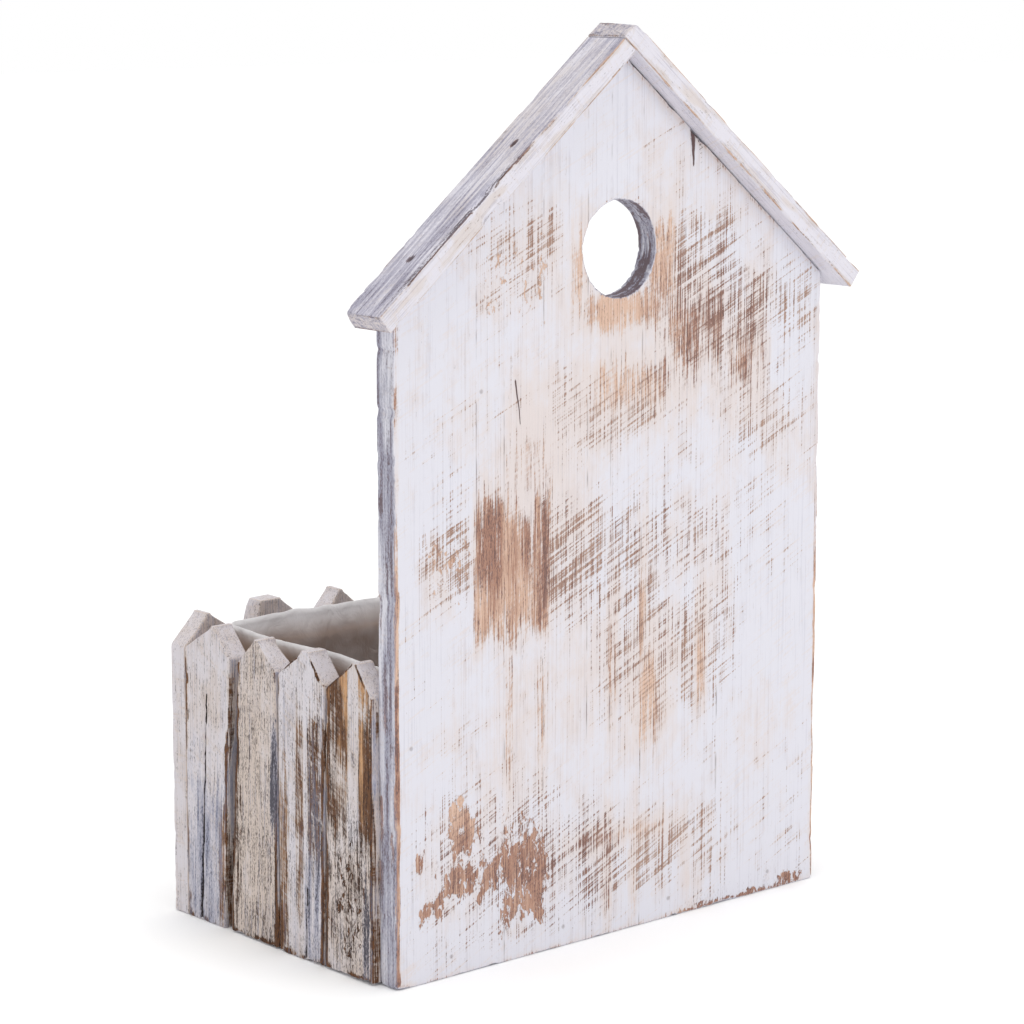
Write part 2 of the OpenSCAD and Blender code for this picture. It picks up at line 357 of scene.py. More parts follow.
@dataclass(frozen=True)
class Bar:
    """The grid of a bar with rounded arrises: a rounded rectangle carried from end to end.

    A point is its core point plus the radius times its normal. core and normal go round the
    section, across and through the board. Along it, step is the share of the length, lean the
    angle that the normals tip towards the end, and shrink draws the end faces to their middles.
    """

    core: Array
    normal: Array
    step: Array
    lean: Array
    shrink: Array

    @classmethod
    def of(cls, wide: int, thick: int, back: int, steps: Array, corner: int = 3) -> "Bar":
        """Lays out the grid.

        Args:
            wide: Points across the outer face.
            thick: Points through the board.
            back: Points across the inner face.
            steps: Shares of the length, from 0 to 1.
            corner: Points within each rounded corner.

        Returns:
            The grid.
        """
        turn = np.linspace(0, math.pi / 2, corner + 2)[1:-1]
        sides = []
        for count, start, heading in ((wide, (-1, 1), (1, 0)), (thick, (1, 1), (0, -1)),
                                      (back, (1, -1), (-1, 0)), (thick, (-1, -1), (0, 1))):
            run = np.linspace(0, 2, count)[:, None]
            core = np.array(start) + run * np.array(heading)
            out = np.array((-heading[1], heading[0]), dtype=float)
            ahead = np.array(heading, dtype=float)
            bend = np.cos(turn)[:, None] * out + np.sin(turn)[:, None] * ahead
            sides.append((core, np.tile(out, (count, 1))))
            sides.append((np.tile(core[-1], (corner, 1)), bend))
        core = np.vstack([s[0] for s in sides])
        normal = np.vstack([s[1] for s in sides])
        cap = np.array([0.25, 0.55, 0.8])
        step = np.concatenate([np.zeros(3 + corner + 1), steps, np.ones(corner + 1 + 3)])
        tip = np.linspace(math.pi / 2, 0, corner + 2)[:-1]
        face = np.full(3, math.pi / 2)
        lean = np.concatenate([-face, -tip, np.zeros(len(steps)), tip[::-1], face])
        level = np.ones(len(steps) + 2 * (corner + 1))
        return cls(core, normal, step, lean, np.concatenate([cap, level, cap[::-1]]))

    def arris_wear(self, rough: RoughField, along: Array) -> Array:
        """How worn the arrises are, with the four corners' wear blended evenly over the faces.

        Args:
            rough: The field that the wear follows.
            along: Places along the board in metres, one to a point.

        Returns:
            Wear from 0 to 1, one to a point.
        """
        total = 0 * along
        for side, face in ((-1, -1), (-1, 1), (1, -1), (1, 1)):
            share = (1 + side * self.core[:, 0]) * (1 + face * self.core[:, 1]) / 4
            total = total + share * rough.layered(along / (7.5 * MM), 0 * along + 30 + 3 * side + 7 * face, 3)
        return ease(total, 0.5, 0.9)

    def place(self, middle: Array, half_w: Array, half_t: float, low: Array, high: Array,
              radius: Array, dent: Array) -> Array:
        """Works out the points.

        Args:
            middle: The section's middle across, one to a row.
            half_w: Half its width, one to a row.
            half_t: Half the thickness.
            low: Where the board starts, one to a column.
            high: Where it ends, one to a column.
            radius: Radius of the arrises, one to a point.
            dent: How far each point is pressed in, one to a point.

        Returns:
            Points as across, along and through the board.
        """
        half_w = half_w[:, None]
        radius = np.minimum(radius, 0.85 * np.minimum(half_w, half_t))
        across, through = self.core[:, 0], self.core[:, 1]
        side, out = self.normal[:, 0], self.normal[:, 1]
        flat, end = np.cos(self.lean)[:, None], np.sin(self.lean)[:, None]
        shrink, step = self.shrink[:, None], self.step[:, None]
        push = radius - dent
        a = middle[:, None] + shrink * across * (half_w - radius) + push * flat * side
        b = shrink * through * (half_t - radius) + push * flat * out
        along = (low + radius) * (1 - step) + (high - radius) * step + push * end
        return np.stack([a, along, b], axis=-1)


def node_points(name: str) -> Array:
    """The corners of a CAD node's mesh.

    Args:
        name: The node's name.

    Returns:
        Rows of three, without repeats.
    """
    mesh = frame["nodes"][name].data
    points = np.empty(len(mesh.vertices) * 3)
    mesh.vertices.foreach_get("co", points)
    return np.unique(points.reshape(-1, 3).round(7), axis=0)


def outline(points: Array) -> Array:
    """The convex outline of plane points, as rows of two in order."""
    flat = np.unique(points.round(6), axis=0)
    return flat[convex_hull_2d(flat.tolist())]


# ---- Materials ----


class NodeKit:
    """Puts shader nodes into one tree and joins them."""

    def __init__(self, tree: bpy.types.NodeTree) -> None:
        """Works in this tree."""
        self.tree = tree

    def node(self, kind: str, **settings: object) -> bpy.types.Node:
        """Adds a node.

        Args:
            kind: The node's type.
            **settings: Its properties' values, by name.

        Returns:
            The node.
        """
        made = self.tree.nodes.new(kind)
        for key, value in settings.items():
            setattr(made, key, value)
        return made

    def feed(self, socket: bpy.types.NodeSocket, value: object) -> None:
        """Joins a socket to another, or sets its number, vector or colour.

        Args:
            socket: The input.
            value: An output to join it to, or the value that it takes.
        """
        if isinstance(value, bpy.types.NodeSocket):
            self.tree.links.new(value, socket)
        elif isinstance(value, tuple) and len(value) == 3 and socket.type == "RGBA":
            socket.default_value = (*value, 1.0)
        else:
            socket.default_value = value

    def math(self, operation: str, *values: object) -> bpy.types.NodeSocket:
        """Adds a Math node.

        Args:
            operation: The sum that it does.
            *values: Its inputs, as numbers or outputs.

        Returns:
            Its output.
        """
        made = self.node("ShaderNodeMath", operation=operation)
        for socket, value in zip(made.inputs, values):
            self.feed(socket, value)
        return made.outputs[0]

    def total(self, *terms: tuple[object, float]) -> bpy.types.NodeSocket:
        """Adds values up.

        Args:
            *terms: Pairs of a value and its weight.

        Returns:
            The sum of the values times their weights.
        """
        result: object = 0.0
        for value, weight in terms:
            result = self.math("MULTIPLY_ADD", value, weight, result)
        return result

    def ease(self, value: object, low: float, high: float, top: object = 1.0) -> bpy.types.NodeSocket:
        """A smooth step.

        Args:
            value: The number that it follows.
            low: Where the step starts, at 0.
            high: Where it ends.
            top: How high it rises.

        Returns:
            The step's height.
        """
        made = self.node("ShaderNodeMapRange", interpolation_type="SMOOTHSTEP")
        for socket, given in zip(made.inputs, (value, low, high, 0.0, top)):
            self.feed(socket, given)
        return made.outputs[0]

    def blend(self, share: object, low: object, high: object) -> bpy.types.NodeSocket:
        """Mixes two colours.

        Args:
            share: The second colour's share, from 0 to 1.
            low: The first colour.
            high: The second one.

        Returns:
            The mixed colour.
        """
        made = self.node("ShaderNodeMix", data_type="RGBA")
        for socket, value in ((made.inputs[0], share), (made.inputs[6], low), (made.inputs[7], high)):
            self.feed(socket, value)
        return made.outputs[2]

    def noise(self, place: object, sizes: tuple[float, float, float], detail: float = 3.0,
              rough: float = 0.55, warp: float = 0.0, turn: float = 0.0) -> bpy.types.NodeSocket:
        """Noise about 0.5, with grains of these sizes in millimetres.

        Args:
            place: Where it is read, in metres.
            sizes: Size of a grain across, along and through the board.
            detail: Layers of finer noise.
            rough: Strength of each finer layer.
            warp: How far it is bent.
            turn: Angle in degrees that the pattern is turned by, on the face.

        Returns:
            The noise's value.
        """
        if turn:
            turned = self.node("ShaderNodeMapping")
            self.feed(turned.inputs["Vector"], place)
            turned.inputs["Rotation"].default_value = (0, 0, math.radians(turn))
            place = turned.outputs[0]
        scaled = self.node("ShaderNodeMapping")
        self.feed(scaled.inputs["Vector"], place)
        scaled.inputs["Scale"].default_value = tuple(1 / (MM * size) for size in sizes)
        made = self.node("ShaderNodeTexNoise")
        self.feed(made.inputs["Vector"], scaled.outputs[0])
        for name, value in (("Scale", 1.0), ("Detail", detail), ("Roughness", rough), ("Distortion", warp)):
            made.inputs[name].default_value = value
        return made.outputs[0]

    def attribute(self, name: str) -> bpy.types.NodeSocket:
        """A point attribute of the mesh, as a vector."""
        return self.node("ShaderNodeAttribute", attribute_name=name).outputs["Vector"]

    def object_place(self) -> bpy.types.NodeSocket:
        """The point's place in the planter's frame."""
        return self.node("ShaderNodeTexCoord").outputs["Object"]

    def parts(self, vector: object) -> list[bpy.types.NodeSocket]:
        """Takes a vector apart.

        Args:
            vector: The vector's output.

        Returns:
            Its three numbers' outputs.
        """
        made = self.node("ShaderNodeSeparateXYZ")
        self.feed(made.inputs[0], vector)
        return list(made.outputs)


def new_group(name: str, inputs: dict[str, str], outputs: dict[str, str]) -> tuple[NodeKit, dict, dict]:
    """An empty shader node group.

    Args:
        name: The group's name.
        inputs: Kind of socket to each input's name.
        outputs: Kind of socket to each output's name.

    Returns:
        A kit for the group's tree, its inputs as sockets inside it, and its outputs likewise.
    """
    tree = bpy.data.node_groups.new(name, "ShaderNodeTree")
    for way, sockets in (("INPUT", inputs), ("OUTPUT", outputs)):
        for label, kind in sockets.items():
            tree.interface.new_socket(name=label, in_out=way, socket_type=f"NodeSocket{kind}")
    kit = NodeKit(tree)
    start, end = kit.node("NodeGroupInput"), kit.node("NodeGroupOutput")
    return kit, {s.name: s for s in start.outputs if s.name}, {s.name: s for s in end.inputs if s.name}


def worn_whitewash() -> bpy.types.NodeTree:
    """The group for whitewash that is worn down to the wood along its grain.

    Wood shows where a wear channel plus grain noise passes a threshold: BARE follows the grain,
    HATCH needs a grain line and a slanting brush stroke together, and CHIP breaks at hard edges.
    Split is the distance from the nearest crack's line and past its ends; on the panel it also carries a
    painted shadow line under the -X roof board.

    Returns:
        The group, which gives a colour, a roughness and a height in millimetres.
    """
    vectors = dict.fromkeys(("Grain", "Wear", "Tint", "Split"), "Vector")
    amounts = dict.fromkeys(("Specks", "Lines", "Relief"), "Float")
    colours = dict.fromkeys(("Paint", "Wash", "Wood", "Brown", "Dark", "Soot"), "Color")
    kit, given, out = new_group("worn_whitewash", vectors | amounts | colours,
                                {"Color": "Color", "Roughness": "Float", "Height": "Float"})
    grain = given["Grain"]
    bare, hatch, chip = kit.parts(given["Wear"])
    burn, warm, cool = kit.parts(given["Tint"])
    fine = kit.noise(grain, (0.5, 15, 0.5), detail=3, rough=0.62)
    lines = kit.noise(grain, (0.62, 55, 0.62), detail=2, rough=0.5, warp=0.1)
    rings = kit.noise(grain, (5.5, 190, 5.5), detail=2, warp=0.5)
    blotch = kit.noise(grain, (9, 15, 9), detail=5, rough=0.66)
    stroke = kit.noise(grain, (30, 1.15, 8), detail=3, rough=0.6, turn=24)
    flake = kit.noise(grain, (2.6, 6, 2.6), detail=5, rough=0.66, warp=0.5)
    speck = kit.noise(grain, (0.42, 1.3, 0.42), detail=2)
    streaks = kit.noise(grain, (1.5, 34, 1.5), detail=4, rough=0.68)

    by_grain = kit.total((bare, 1.0), (fine, 0.9), (lines, 0.9), (blotch, 0.5), (stroke, 0.4), (speck, 0.25))
    bare_mask = kit.ease(by_grain, 1.98, 2.2)
    by_stroke = kit.total((hatch, 0.8), (lines, 1.4), (fine, 0.8), (stroke, 1.6), (blotch, 0.4))
    hatch_mask = kit.ease(by_stroke, 2.8, 2.96)
    by_flake = kit.total((chip, 1.0), (flake, 1.6), (speck, 0.25))
    chip_mask = kit.ease(by_flake, 1.46, 1.52)
    wood_mask = kit.math("MAXIMUM", kit.math("MAXIMUM", bare_mask, hatch_mask), chip_mask)

    # The wood: browner where burnt, with dark pores and crumbs of paint left in the grain
    age = kit.total((burn, 0.75), (rings, 0.7), (fine, 1.0), (lines, 0.7), (blotch, 0.7))
    wood = kit.blend(kit.ease(age, 1.5, 2.15), given["Wood"], given["Brown"])
    wood = kit.blend(kit.math("MULTIPLY", hatch_mask, 0.45), wood, given["Dark"])
    pores = kit.ease(kit.total((fine, 0.8), (speck, 0.55), (burn, 0.14)), 0.74, 0.9, 0.8)
    wood = kit.blend(pores, wood, given["Dark"])
    crumbs = kit.ease(kit.total((fine, -0.8), (speck, -0.5), (burn, -0.04)), -0.52, -0.42, 0.55)
    wood = kit.blend(crumbs, wood, given["Wash"])

    # The paint: thin over worn wood, lined by the grain, scuffed across it and specked
    by_thin = kit.total((warm, 0.75), (bare, 0.8), (hatch, 0.35), (blotch, 1.3), (lines, 0.6))
    paint = kit.blend(kit.ease(by_thin, 1.15, 1.95), given["Paint"], given["Wash"])
    ruled = kit.ease(kit.total((lines, 1.0), (blotch, 0.5)), 0.76, 0.98)
    paint = kit.blend(kit.math("MULTIPLY", ruled, given["Lines"]), paint, given["Soot"])
    scuff = kit.ease(kit.total((stroke, 1.0), (speck, 0.4), (blotch, 0.5)), 0.98, 1.2, 0.6)
    paint = kit.blend(scuff, paint, given["Wash"])
    dots = kit.total((speck, 0.8), (fine, 0.9), (blotch, 0.25), (given["Specks"], 0.14), (burn, 0.12))
    dots = kit.ease(dots, 1.2, 1.32)
    dots = kit.math("MULTIPLY", dots, kit.total((given["Specks"], 0.7), (1.0, 0.2)))
    paint = kit.blend(dots, paint, given["Dark"])
    coat = kit.blend(wood_mask, paint, wood)

    # Grey weather stains over both, and cracks through them; on the panel the cracks also carry a painted
    # shadow line under the -X roof board
    murk = kit.ease(kit.total((cool, 0.75), (streaks, 1.7), (speck, 0.6)), 1.3, 1.95)
    murk = kit.math("MULTIPLY", murk, kit.ease(cool, 0.0, 0.2))
    coat = kit.blend(murk, coat, given["Soot"])
    deep = kit.ease(kit.total((cool, 0.35), (burn, 0.2), (streaks, 1.0), (speck, 0.6)), 1.14, 1.34, 0.8)
    coat = kit.blend(kit.math("MULTIPLY", deep, kit.ease(cool, 0.1, 0.5)), coat, given["Dark"])
    aside, past, _ = kit.parts(given["Split"])
    gap = kit.math("ADD", kit.math("ABSOLUTE", aside), past)
    split_and_shadow_line = kit.ease(kit.total((gap, -1.0), (speck, 0.6)), -0.75, -0.25)
    coat = kit.blend(split_and_shadow_line, coat, given["Dark"])

    worn = kit.total((wood_mask, -0.12), (fine, 0.12), (stroke, 0.05), (lines, 0.07), (speck, 0.05))
    kit.feed(out["Color"], coat)
    kit.feed(out["Roughness"], kit.total((wood_mask, 0.12), (blotch, 0.12), (1.0, 0.58)))
    relief = kit.math("MULTIPLY", worn, given["Relief"])
    kit.feed(out["Height"], kit.math("MULTIPLY_ADD", split_and_shadow_line, -0.8, relief))
    return kit.tree


def new_material(name: str) -> tuple[bpy.types.Material, NodeKit, bpy.types.Node]:
    """Makes a material.

    Args:
        name: The material's name.

    Returns:
        The material, a kit for its tree, and its Principled shader.
    """
    made = bpy.data.materials.new(name)
    made.use_nodes = True
    kit = NodeKit(made.node_tree)
    return made, kit, made.node_tree.nodes["Principled BSDF"]


def join_bump(kit: NodeKit, shader: bpy.types.Node, height: bpy.types.NodeSocket) -> None:
    """Feeds a height to the shader's Normal.

    Args:
        kit: The material's kit.
        shader: Its Principled shader.
        height: The height, in millimetres.
    """
    bump = kit.node("ShaderNodeBump")
    bump.inputs["Strength"].default_value = 1.0
    bump.inputs["Distance"].default_value = MM
    kit.feed(bump.inputs["Height"], height)
    kit.feed(shader.inputs["Normal"], bump.outputs[0])


@dataclass(frozen=True)
class WhitewashFinish:
    """Whitewash over softwood, with the colours of its layers.

    specks and lines are how strongly dark specks and grain lines mark the paint, and relief
    scales its height. seams are the glue lines' places across the face and spots the filled
    brad holes' places across and along it, in millimetres.
    """

    name: str
    paint: Colour
    wash: Colour
    wood: Colour
    brown: Colour
    dark: Colour
    soot: Colour
    specks: float = 0.2
    lines: float = 0.2
    relief: float = 1.0
    seams: tuple[float, ...] = ()
    spots: tuple[tuple[float, float], ...] = ()
    spot_strength: float = 0.4

    def material(self, group: bpy.types.NodeTree) -> bpy.types.Material:
        """Makes the material.

        Args:
            group: The worn whitewash group.

        Returns:
            The material, which reads the piece's grain, place, wear, tint and split attributes.
        """
        made, kit, shader = new_material(self.name)
        layer = kit.node("ShaderNodeGroup", node_tree=group)
        for field_name in ("grain", "wear", "tint", "split"):
            kit.feed(layer.inputs[field_name.capitalize()], kit.attribute(field_name))
        for own in ("specks", "relief", "lines", "paint", "wash", "wood", "brown", "dark", "soot"):
            kit.feed(layer.inputs[own.capitalize()], getattr(self, own))
        colour, height = layer.outputs["Color"], layer.outputs["Height"]
        across, along, _ = kit.parts(kit.attribute("place"))
        for mark in (self._seams(kit, across), self._spots(kit, across, along)):
            if mark is not None:
                colour = kit.blend(mark, colour, self.dark)
                height = kit.math("MULTIPLY_ADD", mark, -0.3, height)
        kit.feed(shader.inputs["Base Color"], colour)
        kit.feed(shader.inputs["Roughness"], layer.outputs["Roughness"])
        shader.inputs["Specular IOR Level"].default_value = 0.3
        join_bump(kit, shader, height)
        return made

    def _seams(self, kit: NodeKit, across: bpy.types.NodeSocket) -> bpy.types.NodeSocket | None:
        """Masks the thin glue lines between the staves.

        Args:
            kit: The material's kit.
            across: Places across the face, in metres.

        Returns:
            The mask, broken up by noise, or None where there are no seams.
        """
        if not self.seams:
            return None
        gap = 1.0
        for place in self.seams:
            gap = kit.math("MINIMUM", gap, kit.math("ABSOLUTE", kit.math("SUBTRACT", across, place * MM)))
        broken = kit.noise(kit.attribute("grain"), (30, 22, 30), detail=3)
        line = kit.math("SUBTRACT", 1.0, kit.ease(gap, 0.1 * MM, 0.42 * MM))
        return kit.math("MULTIPLY", line, kit.ease(broken, 0.48, 0.7, 0.6))

    def _spots(self, kit: NodeKit, across: bpy.types.NodeSocket,
               along: bpy.types.NodeSocket) -> bpy.types.NodeSocket | None:
        """Masks the small filled holes over the brads.

        Args:
            kit: The material's kit.
            across: Places across the face, in metres.
            along: Places along it.

        Returns:
            The mask, or None where there are no spots.
        """
        if not self.spots:
            return None
        gap = 1.0
        for spot in self.spots:
            off = [kit.math("POWER", kit.math("SUBTRACT", place, middle * MM), 2.0)
                   for place, middle in zip((across, along), spot)]
            gap = kit.math("MINIMUM", gap, kit.math("SQRT", kit.math("ADD", *off)))
        return kit.math("SUBTRACT", self.spot_strength, kit.ease(gap, 0.4 * MM, 1.3 * MM, self.spot_strength))


@dataclass(frozen=True)
class PineFinish:
    """Plain sawn pine, with its grain along one axis of the planter."""

    name: str
    turn: float
    light: Colour = srgb(196, 160, 122)
    dark: Colour = srgb(128, 92, 62)

    def material(self) -> bpy.types.Material:
        """Makes the material, with grain lines and growth rings.

        Returns:
            The material, which reads the Object coordinates.
        """
        made, kit, shader = new_material(self.name)
        turned = kit.node("ShaderNodeMapping")
        kit.feed(turned.inputs["Vector"], kit.object_place())
        turned.inputs["Rotation"].default_value = (0, 0, math.radians(self.turn))
        place = turned.outputs[0]
        fine = kit.noise(place, (24, 0.9, 0.9), detail=3)
        rings = kit.noise(place, (170, 5, 4), detail=3, warp=0.6)
        saw = kit.noise(place, (1.4, 30, 30), detail=2)
        tone = kit.ease(kit.total((fine, 0.6), (rings, 0.8)), 0.5, 0.95)
        kit.feed(shader.inputs["Base Color"], kit.blend(tone, self.light, self.dark))
        kit.feed(shader.inputs["Roughness"], kit.total((rings, 0.2), (1.0, 0.62)))
        join_bump(kit, shader, kit.total((fine, 0.12), (saw, 0.1)))
        return made


@dataclass(frozen=True)
class FilmFinish:
    """Thin milky plastic film, creased by hand."""

    name: str
    # clear: the film low in the box, brown-grey partly from the wood seen through it and partly from painted
    # shade
    clear: Colour = srgb(172, 154, 144)
    # milky: its pale colour, which the random clouds and the painted glow near the rim blend towards
    milky: Colour = srgb(240, 237, 237)
    # Heights over which the painted glow near the rim fades in
    glow_low: float = 115 * MM
    glow_high: float = 127 * MM

    def material(self) -> bpy.types.Material:
        """Makes the material: creases bend its gloss, and it lets a little light through.

        Returns:
            The material, whose film is milkier and more opaque towards its rim, as painted light shining
            through it there.
        """
        made, kit, shader = new_material(self.name)
        place = kit.object_place()
        crease = kit.noise(place, (11, 11, 17), detail=4, rough=0.6, warp=1.1)
        cloud = kit.noise(place, (30, 30, 24), detail=3)
        # Painted light: towards its rim the film turns lighter and more opaque, a painted glow of light
        # shining through it
        rim = kit.ease(kit.parts(place)[2], self.glow_low, self.glow_high)
        milk_and_glow = kit.total((kit.ease(cloud, 0.35, 0.65), 0.3), (rim, 1.0))
        kit.feed(shader.inputs["Base Color"], kit.blend(milk_and_glow, self.clear, self.milky))
        kit.feed(shader.inputs["Roughness"], kit.total((crease, 0.2), (1.0, 0.22)))
        kit.feed(shader.inputs["Alpha"], kit.total((cloud, 0.25), (rim, 0.3), (1.0, 0.5)))
        join_bump(kit, shader, kit.math("MULTIPLY", crease, 1.4))
        return made


@dataclass(frozen=True)
class WireFinish:
    """Drawn steel wire, dulled and rusting a little."""

    name: str
    steel: Colour
    rust: Colour = srgb(104, 72, 56)

    def material(self) -> bpy.types.Material:
        """Makes the material.

        Returns:
            The material, which reads the Object coordinates.
        """
        made, kit, shader = new_material(self.name)
        place = kit.object_place()
        spot = kit.noise(place, (0.7, 0.7, 0.7), detail=3)
        draw = kit.noise(place, (0.15, 0.15, 2.5), detail=2)
        rusty = kit.ease(spot, 0.56, 0.7, 0.8)
        kit.feed(shader.inputs["Base Color"], kit.blend(rusty, self.steel, self.rust))
        kit.feed(shader.inputs["Metallic"], kit.math("SUBTRACT", 1.0, rusty))
        kit.feed(shader.inputs["Roughness"], kit.total((spot, 0.4), (1.0, 0.2)))
        join_bump(kit, shader, kit.math("MULTIPLY", draw, 0.03))
        return made


# ---- The pieces ----


def put(piece: bpy.types.Object, material: bpy.types.Material, slot: str, *nodes: str) -> None:
    """Dresses a piece, hides the CAD nodes that it replaces and parents it to the root body.

    Args:
        piece: The piece's object.
        material: Its finish.
        slot: The record's material slot that the finish stands for; not used.
        *nodes: The CAD nodes that it replaces.
    """
    piece.data.materials.append(material)
    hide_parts(*nodes)
    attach(piece, "root")


@dataclass
class PanelFaces:
    """Masks from 0 to 1 of the panel's faces, with each point's distance from the rim.

    rim_side is the sideways part of the outline's outward normal, one to a ray.
    """

    back: Array
    arris: Array
    rim: Array
    bore: Array
    front: Array
    rim_side: Array
    gap: Array


@dataclass
class BackPanel:
    """The gabled panel with its round hole: one closed ring of rows round a fan of rays.

    A ray runs from the hole to the outline. A row is one loop round the hole, and the rows go
    over the back face, round the outer arris, across the rim, over the front face and back
    through the hole.
    """

    material: bpy.types.Material
    node: str = "back_panel"
    rays: int = 600
    back_rows: int = 74
    front_rows: int = 30
    arris: float = 0.7 * MM
    corner: float = 2.2 * MM
    seed: int = 11
    patches: tuple[Patch, ...] = ()
    cracks: tuple[Crack, ...] = ()

    def __post_init__(self) -> None:
        """Reads the outline, the faces and the hole from the frame."""
        points = node_points(self.node)
        self.front_y, self.back_y = points[:, 1].min(), points[:, 1].max()
        self.shape = outline(points[:, [0, 2]])
        hole = next(m for m in frame["record"]["mounts"] if m["name"] == "entrance_hole")
        self.hole_z = hole["pos_m"][2]
        self.hole_r = hole["dims"]["r_mm"] * MM

    def _outline(self) -> tuple[Array, Array]:
        """The outline's points and outward normals, evenly spaced, with rounded corners.

        A corner is an arc of the corner's radius, which touches both sides.

        Returns:
            The points as X and Z, and their normals.
        """
        shape = self.shape
        edge_in, edge_out = shape - np.roll(shape, 1, axis=0), np.roll(shape, -1, axis=0) - shape
        turned = edge_in[:, 0] * edge_out[:, 1] - edge_in[:, 1] * edge_out[:, 0]
        sharp = turned > 0.1 * np.linalg.norm(edge_in, axis=1) * np.linalg.norm(edge_out, axis=1)
        shape = shape[sharp]
        ahead = np.roll(shape, -1, axis=0) - shape
        length = np.linalg.norm(ahead, axis=1)
        way = ahead / length[:, None]
        normal = np.stack([way[:, 1], -way[:, 0]], axis=-1)
        before = np.roll(normal, 1, axis=0)
        bend = np.arccos(np.clip((normal * before).sum(axis=1), -1, 1))
        cut = self.corner * np.tan(bend / 2)
        points, normals = [], []
        for k in range(len(shape)):
            after = (k + 1) % len(shape)
            count = max(2, round(self.rays * length[k] / length.sum()))
            run = np.linspace(cut[k], length[k] - cut[after], count)[:, None]
            points.append(shape[k] + run * way[k])
            normals.append(np.tile(normal[k], (count, 1)))
            turn = np.linspace(0, 1, 6)[1:-1, None] * bend[after]
            swept = np.cos(turn) * normal[k] + np.sin(turn) * way[k]
            centre = shape[after] - cut[after] * way[k] - self.corner * normal[k]
            points.append(centre + self.corner * swept)
            normals.append(swept)
        return np.vstack(points), np.vstack(normals)

    def _rows(self) -> Array:
        """Lays the rows out round the section: back face, arris, rim, front face and hole.

        Returns:
            Five numbers to a row: its share of the way from the hole to the rim, its level from
            the front face to the back one, and its normals' parts to the side, out of the back
            face and into the hole.
        """
        quarter = np.linspace(0, math.pi / 2, 6)
        near_hole, near_rim = np.array([0, 0.003, 0.009, 0.02]), [0.992, 1.0]
        back = np.concatenate([near_hole, np.linspace(0.034, 0.985, self.back_rows - 6), near_rim])
        front = np.linspace(1, 0, self.front_rows)
        depth, bore = np.linspace(0, 1, 9)[1:-1], np.linspace(0, 1, 18)[1:-1]
        rows = [(t, 1.0, 0.0, 1.0, 0.0) for t in back]
        rows += [(1.0, 1.0, math.sin(q), math.cos(q), 0.0) for q in quarter[1:]]
        rows += [(1.0, 1 - d, 1.0, 0.0, 0.0) for d in depth]
        rows += [(1.0, 0.0, math.cos(q), -math.sin(q), 0.0) for q in quarter]
        rows += [(t, 0.0, 0.0, -1.0, 0.0) for t in front[1:]]
        rows += [(0.0, 0.0, 0.0, -math.cos(q), math.sin(q)) for q in quarter[1:]]
        rows += [(0.0, d, 0.0, 0.0, 1.0) for d in bore]
        rows += [(0.0, 1.0, 0.0, math.sin(q), math.cos(q)) for q in quarter[:-1]]
        return np.array(rows)

    def build(self) -> None:
        """Makes the panel and dresses it."""
        rim, rim_normal = self._outline()
        centre = np.array([0.0, self.hole_z])
        to_rim = rim - centre
        hole_normal = -to_rim / np.linalg.norm(to_rim, axis=1)[:, None]
        hole = centre - self.hole_r * hole_normal
        wear = RoughField(self.seed)
        run = np.cumsum(np.linalg.norm(rim - np.roll(rim, 1, axis=0), axis=1)) / (6 * MM)
        worn = ease(wear.layered(run / 3, 0 * run, 3), 0.45, 0.9)
        radius = (self.arris * (1 + 1.5 * worn))[None, :, None]
        nibble = (0.9 * MM * ease(wear.layered(run, 0 * run + 40, 3), 0.55, 0.95))[None, :, None]
        rim = rim - nibble[0] * rim_normal

        share, level, to_side, to_face, to_hole = self._rows().T[..., None, None]
        core_rim, core_hole = rim - radius[0] * rim_normal, hole - radius[0] * hole_normal
        flat = core_hole * (1 - share) + core_rim * share
        flat = flat + radius * (to_side * rim_normal + to_hole * hole_normal)
        thick = self.back_y - self.front_y
        y = self.front_y + radius + (thick - 2 * radius) * level + radius * to_face
        x, z, y = flat[..., 0], flat[..., 1], y[..., 0]

        faces = PanelFaces(
            back=((to_face > 0.9) & (level > 0.5))[..., 0] * 1.0,
            arris=(ease(to_face, 0.05, 0.6) * (level > 0.5))[..., 0],
            rim=np.broadcast_to(to_side, y.shape + (1,))[..., 0],
            bore=np.broadcast_to(to_hole, y.shape + (1,))[..., 0],
            front=((to_face < -0.9) & (level < 0.5))[..., 0] * 1.0,
            rim_side=rim_normal[:, 0][None, :],
            gap=np.linalg.norm(rim - flat, axis=-1),
        )
        coat = self._coat(x, y, z, faces)
        dish = 0.12 * MM * wear.layered(x / 0.03 + 9, z / 0.06, 2)
        chip = coat.values[..., Channel.CHIP.value]
        y = y - faces.back * (dish + 0.15 * MM * chip) + faces.front * dish
        place = np.stack([x, z, y], axis=-1)
        fields = {"grain": place, "place": place, **coat.fields()}
        piece = Surface(np.stack([x, y, z], axis=-1), fields, ring=True).build("whitewashed_back_panel")
        put(piece, self.material, "whitewashed_panel", self.node)

